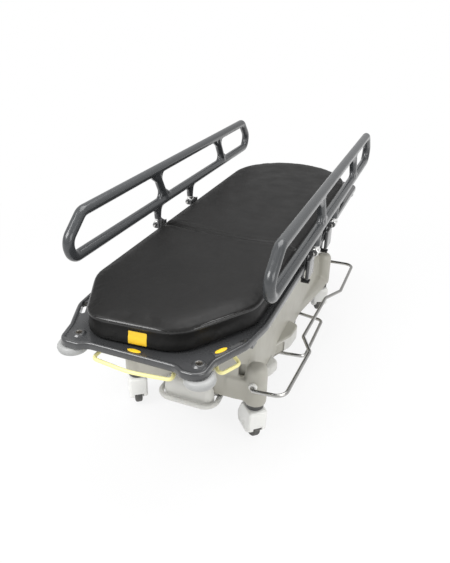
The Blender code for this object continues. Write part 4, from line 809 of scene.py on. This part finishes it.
# Pole socket liners and bumper rollers
SOCKET = ((0.0100, -0.0140), (0.0100, 0.0030), (0.0104, 0.0035), (0.0112, 0.0035), (0.0114, 0.0030),
          (0.0114, -0.0150), (0.0100, -0.0150))
work = bmesh.new()
for tag, side in SIDES:
    for spot in (FOOT_LOBE, HEAD_LOBE):
        add_lathe(work, SOCKET, (side * spot.x, spot.y, DECK_HIGH - 0.0026), steps=40, ring=True)
dress(finished(work, "pole_sockets"), "platform", "chrome", LINER)
for end, spot, size in (("foot", FOOT_ROLLER, 0.0525), ("head", HEAD_LOBE, 0.0445)):
    rim = [(0.0103, 0.001), (size - 0.016, 0.0), (size - 0.009, 0.0010), (size - 0.004, 0.0040),
           (size - 0.0012, 0.0090), (size, 0.015), (size - 0.0012, 0.0210), (size - 0.004, 0.0260),
           (size - 0.009, 0.0290), (size - 0.016, 0.030), (0.0103, 0.0297)]
    for tag, side in SIDES:
        name = end + "_" + tag
        at = (side * spot.x, spot.y, ROLLER_LOW)
        roller = piece("bumper_" + name, add_lathe, rim, at, steps=72, ring=True)
        dress(roller, "roller_" + name, "pale_grey_moulding", PALE, "bumper_roller_" + name)

# Side rails

# Radii of loop and struts, what easing takes off them, and the reach of the webs that become fillets
TUBE, STRUT, EASED = 0.0210, 0.0188, 0.0014
STRUT_WEB, LEG_WEB = 0.056, 0.048
LEG = ((0.0150, RAIL_PIVOT_Z + 0.014), (0.0172, RAIL_PIVOT_Z + 0.050), (0.0215, RAIL_LOW))
loop = [
    (RAIL_X, RAIL_FOOT + 0.094, RAIL_HIGH, 0.050),
    (RAIL_X, RAIL_FOOT - 0.006, RAIL_LOW + 0.072, 0.050),
    (RAIL_X, RAIL_FOOT + 0.016, RAIL_LOW, 0.045),
    (RAIL_X, RAIL_HEAD - 0.018, RAIL_LOW, 0.045),
    (RAIL_X, RAIL_HEAD + 0.006, RAIL_LOW + 0.066, 0.050),
    (RAIL_X, RAIL_HEAD - 0.076, RAIL_HIGH, 0.050),
]
loop = spaced(filleted(loop, True, 5), 0.05)
rods = [(loop + loop[:1], TUBE)]
work = bmesh.new()
add_tube(work, loop, TUBE + EASED, closed=True, sides=28)
for top, bottom in ((-0.155, -0.070), (0.540, 0.632)):
    strut = [Vector((RAIL_X, top, RAIL_HIGH)), Vector((RAIL_X, bottom, RAIL_LOW))]
    rods.append((strut, STRUT))
    add_tube(work, strut, STRUT + EASED, sides=24, dome=False)
    lean = (bottom - top) / (RAIL_HIGH - RAIL_LOW)
    for y, z, slope in ((top, RAIL_HIGH, 1), (bottom, RAIL_LOW, -1)):
        inner = Vector((RAIL_X, y + slope * lean * STRUT_WEB, z - slope * STRUT_WEB))
        for along in (-1, 1):
            add_tube(work, [Vector((RAIL_X, y + along * STRUT_WEB, z)), inner], 0.0140, sides=16, dome=False)
for y in RAIL_LEGS:
    add_lathe(work, LEG, (RAIL_X, y, 0), steps=28)
    inner = Vector((RAIL_X, y, RAIL_LOW - LEG_WEB))
    for along in (-1, 1):
        add_tube(work, [Vector((RAIL_X, y + along * LEG_WEB, RAIL_LOW)), inner], 0.0120, sides=16, dome=False)
rail = fused(work, "rail_skin_right", 0.0036, 20, 180)
trued(rail, rods)
dress(rail, "rail_right", "grey_rail", RAILS, "rail_right")
dress(mirrored(rail, "rail_skin_left"), "rail_left", "grey_rail", RAILS, "rail_left")

# Hinges: knuckles on the rails' legs, pins, and plates with lugs on the deck's sides
KNUCKLE = ((0.0063, -0.022), (0.0145, -0.022), (0.016, -0.0205), (0.016, 0.0205), (0.0145, 0.022),
           (0.0063, 0.022))
FERRULE = ((0.0130, RAIL_PIVOT_Z + 0.012), (0.0150, RAIL_PIVOT_Z + 0.0135), (0.0150, RAIL_PIVOT_Z + 0.0260),
           (0.0142, RAIL_PIVOT_Z + 0.0275))
PIN = ((0.0030, -0.0405), (0.0052, -0.0398), (0.0059, -0.0385), (0.0059, 0.0385), (0.0052, 0.0398),
       (0.0030, 0.0405))
WALL, LUG = DECK_X + 0.0003, 0.0122
LUG_RIM = [(WALL + 0.001, RAIL_PIVOT_Z + LUG), (WALL + 0.001, RAIL_PIVOT_Z - LUG)]
LUG_RIM += arc(RAIL_X, RAIL_PIVOT_Z, LUG, -math.pi / 2, math.pi / 2, 20)
for tag, side in SIDES:
    work = bmesh.new()
    pins = bmesh.new()
    for y in RAIL_LEGS:
        at = (side * RAIL_X, y, RAIL_PIVOT_Z)
        add_lathe(work, KNUCKLE, at, (0, 1, 0), 40, True)
        add_lathe(work, FERRULE, (side * RAIL_X, y, 0), steps=36)
        add_lathe(pins, PIN, at, (0, 1, 0), 28)
    dress(finished(work, "rail_knuckles_" + tag), "rail_" + tag, "chrome", BRIGHT)
    nodes = ["rail_pin_" + tag + end for end in ("_foot", "_head")]
    dress(finished(pins, "rail_pins_" + tag), "platform", "chrome", CHROME, *nodes)
    for end, y in zip(("foot", "head"), RAIL_LEGS):
        work = bmesh.new()
        inner = (side * WALL, y - 0.045, DECK_LOW - 0.044)
        outer = (side * (WALL + 0.0145), y + 0.045, RAIL_PIVOT_Z - 0.030)
        add_block(work, inner, outer, 0.005, 4)
        inner = (side * WALL, y - 0.038, RAIL_PIVOT_Z - 0.045)
        outer = (side * (WALL + 0.0035), y + 0.038, RAIL_PIVOT_Z + 0.012)
        add_block(work, inner, outer, 0.001, 2)
        for near, far in ((y - 0.0290, y - 0.0240), (y + 0.0240, y + 0.0290)):
            add_rings(work, [[Vector((side * u, v, w)) for u, w in LUG_RIM] for v in (near, far)])
        name = tag + "_" + end
        plate = finished(work, "rail_plate_" + name)
        dress(plate, "platform", "dark_grey_moulding", DARK, "rail_bracket_" + name)

# The mattress

corners = [
    (MATTRESS_X, MATTRESS_Y, 0, MATTRESS_X - 0.001),
    (-MATTRESS_X, MATTRESS_Y, 0, MATTRESS_X - 0.001),
    (-MATTRESS_X, -MATTRESS_Y + 0.265, 0, 0.180),
    (*FOOT_LEFT, 0, 0.110),
    (*FOOT_RIGHT, 0, 0.150),
    (MATTRESS_X, -MATTRESS_Y + 0.283, 0, 0.150),
]
mattress_rim = spaced(filleted(corners, True, 4), 0.012)
# (share of the height, inset) up the walls, and the radius of the top edge
SECTION = ((0.0, 0.014), (0.03, 0.009), (0.09, 0.005), (0.25, 0.004), (0.50, 0.007), (0.70, 0.006),
           (0.82, 0.0032))
EDGE = 0.0125


def gathered(points, share):
    """An outline drawn by a share of the way to the mattress's middle line."""
    reach = MATTRESS_Y - MATTRESS_X
    return [point.lerp(Vector((0, min(max(point.y, -reach), reach), 0)), share) for point in points]


def mattress_rings(shrink):
    """Outlines up the walls, over the rounded edge and across the crown."""
    walls = [(inset, MATTRESS_LOW + share * (SEAM - MATTRESS_LOW)) for share, inset in SECTION]
    for k in range(8):
        angle = math.pi / 2 * k / 7
        walls.append((0.0022 + EDGE * (1 - math.cos(angle)), SEAM + (0.0054 - EDGE * (1 - math.sin(angle)))))
    rings = [at_height(drawn_in(mattress_rim, inset + shrink), z) for inset, z in walls]
    rim = drawn_in(mattress_rim, shrink)
    for share in (0.06, 0.10, 0.16, 0.24, 0.34, 0.46, 0.60, 0.76, 0.92):
        rise = 1 - (1 - min(share / 0.46, 1)) ** 2.6
        rings.append(at_height(gathered(rim, share), SEAM + (0.10 + 0.90 * rise) * CROWN))
    return rings


def bell(away, width):
    return np.exp(-(away / width) ** 2)


pad = piece("mattress_cover", add_rings, mattress_rings(0.002))
grid = pad.modifiers.new("grid", "REMESH")
grid.mode = "VOXEL"
grid.voxel_size = 0.0065
settle(pad)
start = points_of(pad.data)
# The cover is blown up a little by its foam, and held below
FRAMES, SWELL = 20, 0.0045
hold = pad.vertex_groups.new(name="hold")
hold.add([int(i) for i in np.flatnonzero(start[:, 2] < MATTRESS_LOW + 0.004)], 1.0, "REPLACE")
cloth = pad.modifiers.new("cloth", "CLOTH")
cloth.settings.quality = 3
cloth.settings.use_pressure = True
cloth.settings.uniform_pressure_force = 4.0
cloth.settings.effector_weights.gravity = 0.0
cloth.settings.vertex_group_mass = "hold"
cloth.collision_settings.use_collision = False
cloth.point_cache.frame_start = 1
cloth.point_cache.frame_end = FRAMES
for number in range(1, FRAMES + 1):
    SCENE.frame_set(number)
settle(pad)
SCENE.frame_set(1)
moved = points_of(pad.data) - start
far = np.linalg.norm(moved, axis=1)
start = start + moved * np.minimum(1.0, SWELL / np.maximum(far, 1e-9))[:, None]

# The fold, its small wrinkles, and the flat underside. The fold leaves the left edge near the hinge,
# swings towards the foot end and comes back a little at the right edge.
FOLD_DEPTH, FOLD_WIDTH = 0.0235, 0.0100
top = np.clip((start[:, 2] - SEAM) / 0.010, 0, 1)
run = start[:, 0] + MATTRESS_X
fold = BACK_Y - 0.012 - 0.058 * np.clip(run / 0.20, 0, 1) ** 0.55 + 0.022 * np.clip((run - 0.42) / 0.22, 0, 1)
near = start[:, 1] - fold
deep = FOLD_DEPTH * np.clip(1.30 - run / 0.34, 0.22, 1) * np.clip(run / 0.025, 0.50, 1)
start[:, 2] -= top * deep * bell(near, FOLD_WIDTH)
start[:, 2] += top * 0.12 * deep * (bell(near - 0.027, 0.014) + bell(near + 0.027, 0.014))
# Side, reach, tilt, offset from the fold, depth and width of each wrinkle
CREASES = (
    (-1, 0.24, 0.10, 0.016, 0.0052, 0.008), (-1, 0.17, 0.30, 0.022, 0.0042, 0.007),
    (-1, 0.15, -0.30, -0.010, 0.0036, 0.008), (1, 0.13, 0.06, 0.010, 0.0050, 0.008),
    (1, 0.10, -0.28, -0.004, 0.0036, 0.007),
)
for side, reach, tilt, offset, depth, width in CREASES:
    run = MATTRESS_X - side * start[:, 0]
    line = start[:, 1] - (fold + offset + tilt * run)
    fade = np.clip(1 - run / reach, 0, 1) ** 0.9 * np.clip(run / 0.015, 0.3, 1)
    start[:, 2] -= top * depth * fade * bell(line, width)
    start[:, 2] += top * 0.4 * depth * fade * bell(line - 0.015, 0.010)
start[:, 2] = np.maximum(start[:, 2], MATTRESS_LOW)
put_points(pad.data, start)
smoothed(pad.data, 80)
tree = BVHTree.FromPolygons([Vector(p) for p in start], [tuple(f.vertices) for f in pad.data.polygons])
dress(pad, None, "black_vinyl", VINYL, "mattress_foot", "mattress_back")
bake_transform(pad)

# Piped seam round the top edge
PIPING_RADIUS, SUNK = 0.0105, 0.0098
path = []
for inner, outer in zip(drawn_in(mattress_rim, 0.040), mattress_rim):
    aim = ((outer - inner).normalized() + Vector((0, 0, 1))).normalized()
    hit = tree.ray_cast(Vector((inner.x, inner.y, SEAM - 0.030)), aim)[0]
    path.append(hit - aim * SUNK)
for turn in range(6):
    path = [(path[k - 1] + path[k] * 2 + path[(k + 1) % len(path)]) / 4 for k in range(len(path))]
piping = piece("mattress_piping", add_tube, path, PIPING_RADIUS, closed=True, sides=28)
dress(piping, None, "black_vinyl", PIPING)
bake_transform(piping)

# Yellow inlays

# The patch on the mattress's foot face follows the cloth: its (lift, share) go from the border inwards
PATCH_RISE = ((0.0002, 1.0), (0.0011, 1.0), (0.0013, 0.97), (0.0013, 0.66), (0.0013, 0.33), (0.0013, 0.03))
PATCH_LEFT, PATCH_RIGHT, PATCH_LOW, PATCH_HIGH = -0.028, 0.036, 0.6468, 0.6918
corners = [(PATCH_LEFT, PATCH_LOW), (PATCH_RIGHT, PATCH_LOW),
           (PATCH_RIGHT, PATCH_HIGH), (PATCH_LEFT, PATCH_HIGH)]
border = spaced(filleted([(x, z, 0, 0.003) for x, z in corners], True, 15), 0.006)
middle = Vector((0.004, 0.6693, 0))
rings = []
for lift, share in PATCH_RISE:
    ring = []
    for point in border:
        spot = middle.lerp(point, share)
        hit = tree.ray_cast(Vector((spot.x, -1.2, spot.y)), Vector((0, 1, 0)))[0]
        ring.append(Vector((spot.x, hit.y - lift, spot.y)))
    rings.append(ring)
dress(piece("foot_patch", add_rings, rings), "platform", "yellow_inlay", YELLOW, "mattress_patch")

# The ovals in the deck's trough, the one at the side on a raised seat
OVAL_LONG, OVAL_WIDE, OVAL_THICK = 0.024, 0.0085, 0.0024
FRONT_OVAL = Vector((0, -DECK_Y + 0.024, 0))
SIDE_OVAL = Vector((MATTRESS_X - 0.066, -DECK_Y + 0.132, 0))
for tag, spot, turn in (("front", FRONT_OVAL, 0.0), ("side", SIDE_OVAL, 1.05)):
    turned = Matrix.Rotation(turn, 3, "Z")
    oval = []
    for k in range(48):
        angle = 2 * math.pi * k / 48
        oval.append(spot + turned @ Vector((OVAL_LONG * math.cos(angle), OVAL_WIDE * math.sin(angle), 0)))
    low = TROUGH - 0.0002
    if tag == "side":
        seat = [spot + turned @ point for point in rectangle(0.033, 0.017, 0.007)]
        seat = piece("oval_seat", add_plate, seat, TROUGH - 0.002, TROUGH + 0.0030, 0.0016, 4)
        dress(seat, "platform", "dark_grey_moulding", DARK)
        low = TROUGH + 0.0026
    inlay = piece("oval_" + tag, add_plate, oval, low, low + OVAL_THICK, 0.0010, 3)
    dress(inlay, "platform", "yellow_inlay", YELLOW, "deck_oval_" + tag)

# Solids that stay as they are, with their finishes

STAYING = {
    "base_chassis": STEEL, "lift_head": STEEL, "under_frame": STEEL, "backrest_quadrant": STEEL,
    "leg_panel": BOARD, "backrest_panel": BOARD, "backrest_pin_right": CHROME, "backrest_pin_left": CHROME,
    "rail_latch_right": BLACK, "rail_latch_left": BLACK,
}
for name, material in STAYING.items():
    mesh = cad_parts[name].data
    mesh.materials.clear()
    mesh.materials.append(material)

# Room, light and camera


def floor_paint():
    """Pale floor that the camera and reflections see as nearly white, with the shadow kept."""
    made = bpy.data.materials.new("pale_floor")
    made.use_nodes = True
    tree = made.node_tree
    tree.nodes.clear()
    rays = add_node(tree, "ShaderNodeLightPath").outputs
    either = {0: rays["Is Camera Ray"], 1: rays["Is Glossy Ray"]}
    seen = add_node(tree, "ShaderNodeMath", either, operation="MAXIMUM")
    place = add_node(tree, "ShaderNodeTexCoord").outputs["Object"]
    reach = add_node(tree, "ShaderNodeVectorMath", {0: place}, operation="LENGTH").outputs["Value"]
    inputs = {"Value": reach, "From Min": 0.9, "From Max": 2.8, "To Min": 0.86, "To Max": 1.0}
    fade = add_node(tree, "ShaderNodeMapRange", inputs, interpolation_type="SMOOTHSTEP").outputs["Result"]
    share = add_node(tree, "ShaderNodeMath", {0: seen.outputs[0], 1: fade}, operation="MULTIPLY").outputs[0]
    diffuse = add_node(tree, "ShaderNodeBsdfDiffuse", {"Color": (0.86, 0.86, 0.86, 1)}).outputs[0]
    glow = add_node(tree, "ShaderNodeEmission", {"Color": (1, 1, 1, 1)}).outputs[0]
    mix = add_node(tree, "ShaderNodeMixShader", {0: share, 1: diffuse, 2: glow})
    add_node(tree, "ShaderNodeOutputMaterial", {"Surface": mix.outputs[0]})
    return made


work = bmesh.new()
bmesh.ops.create_grid(work, x_segments=1, y_segments=1, size=9)
ground = finished(work, "floor")
ground.data.materials.append(floor_paint())
ground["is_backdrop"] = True

world = bpy.data.worlds.new("studio")
SCENE.world = world
world.use_nodes = True
tree = world.node_tree
tree.nodes.clear()
rays = add_node(tree, "ShaderNodeLightPath").outputs
either = {0: rays["Is Camera Ray"], 1: rays["Is Transmission Ray"]}
seen = add_node(tree, "ShaderNodeMath", either, operation="MAXIMUM")
level = add_node(tree, "ShaderNodeMapRange", {"Value": seen.outputs[0], "To Min": 0.55, "To Max": 1.0})
sky = add_node(tree, "ShaderNodeBackground", {"Color": (1, 1, 1, 1), "Strength": level.outputs["Result"]})
add_node(tree, "ShaderNodeOutputWorld", {"Surface": sky.outputs[0]})

for name, place, aim, size, power in (
    ("key", (-1.3, -2.6, 3.2), (0, -0.3, 0.6), 2.0, 100),
    ("top", (0.3, 0.5, 3.6), (0, 0.2, 0.6), 2.6, 75),
    ("fill", (2.8, -1.6, 2.0), (0, 0, 0.5), 1.8, 33),
):
    data = bpy.data.lights.new(name, "AREA")
    data.size = size
    data.energy = power
    lamp = bpy.data.objects.new(name, data)
    lamp.location = place
    lamp.rotation_euler = (Vector(aim) - Vector(place)).to_track_quat("-Z", "Y").to_euler()
    SCENE.collection.objects.link(lamp)

# The camera, fitted to the photo: its place, its angles, and its focal length in the photo's pixels
PLACE, FOCAL, PHOTO_WIDTH = (0.796, -2.26, 1.655), 557.9, 450
YAW, PITCH, ROLL = math.radians(21.41), math.radians(27.75), math.radians(1.23)
ahead = Vector((-math.sin(YAW) * math.cos(PITCH), math.cos(YAW) * math.cos(PITCH), -math.sin(PITCH)))
level_right = Vector((math.cos(YAW), math.sin(YAW), 0))
level_up = level_right.cross(ahead)
right = level_right * math.cos(ROLL) + level_up * math.sin(ROLL)
up = level_up * math.cos(ROLL) - level_right * math.sin(ROLL)
lens = bpy.data.cameras.new("camera")
lens.sensor_fit = "HORIZONTAL"
lens.sensor_width = 36
lens.lens = FOCAL / PHOTO_WIDTH * lens.sensor_width
camera = bpy.data.objects.new("camera", lens)
camera.matrix_world = Matrix.Translation(PLACE) @ Matrix((right, up, -ahead)).transposed().to_4x4()
SCENE.collection.objects.link(camera)
SCENE.camera = camera
SCENE.view_settings.view_transform = "Standard"

low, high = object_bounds()
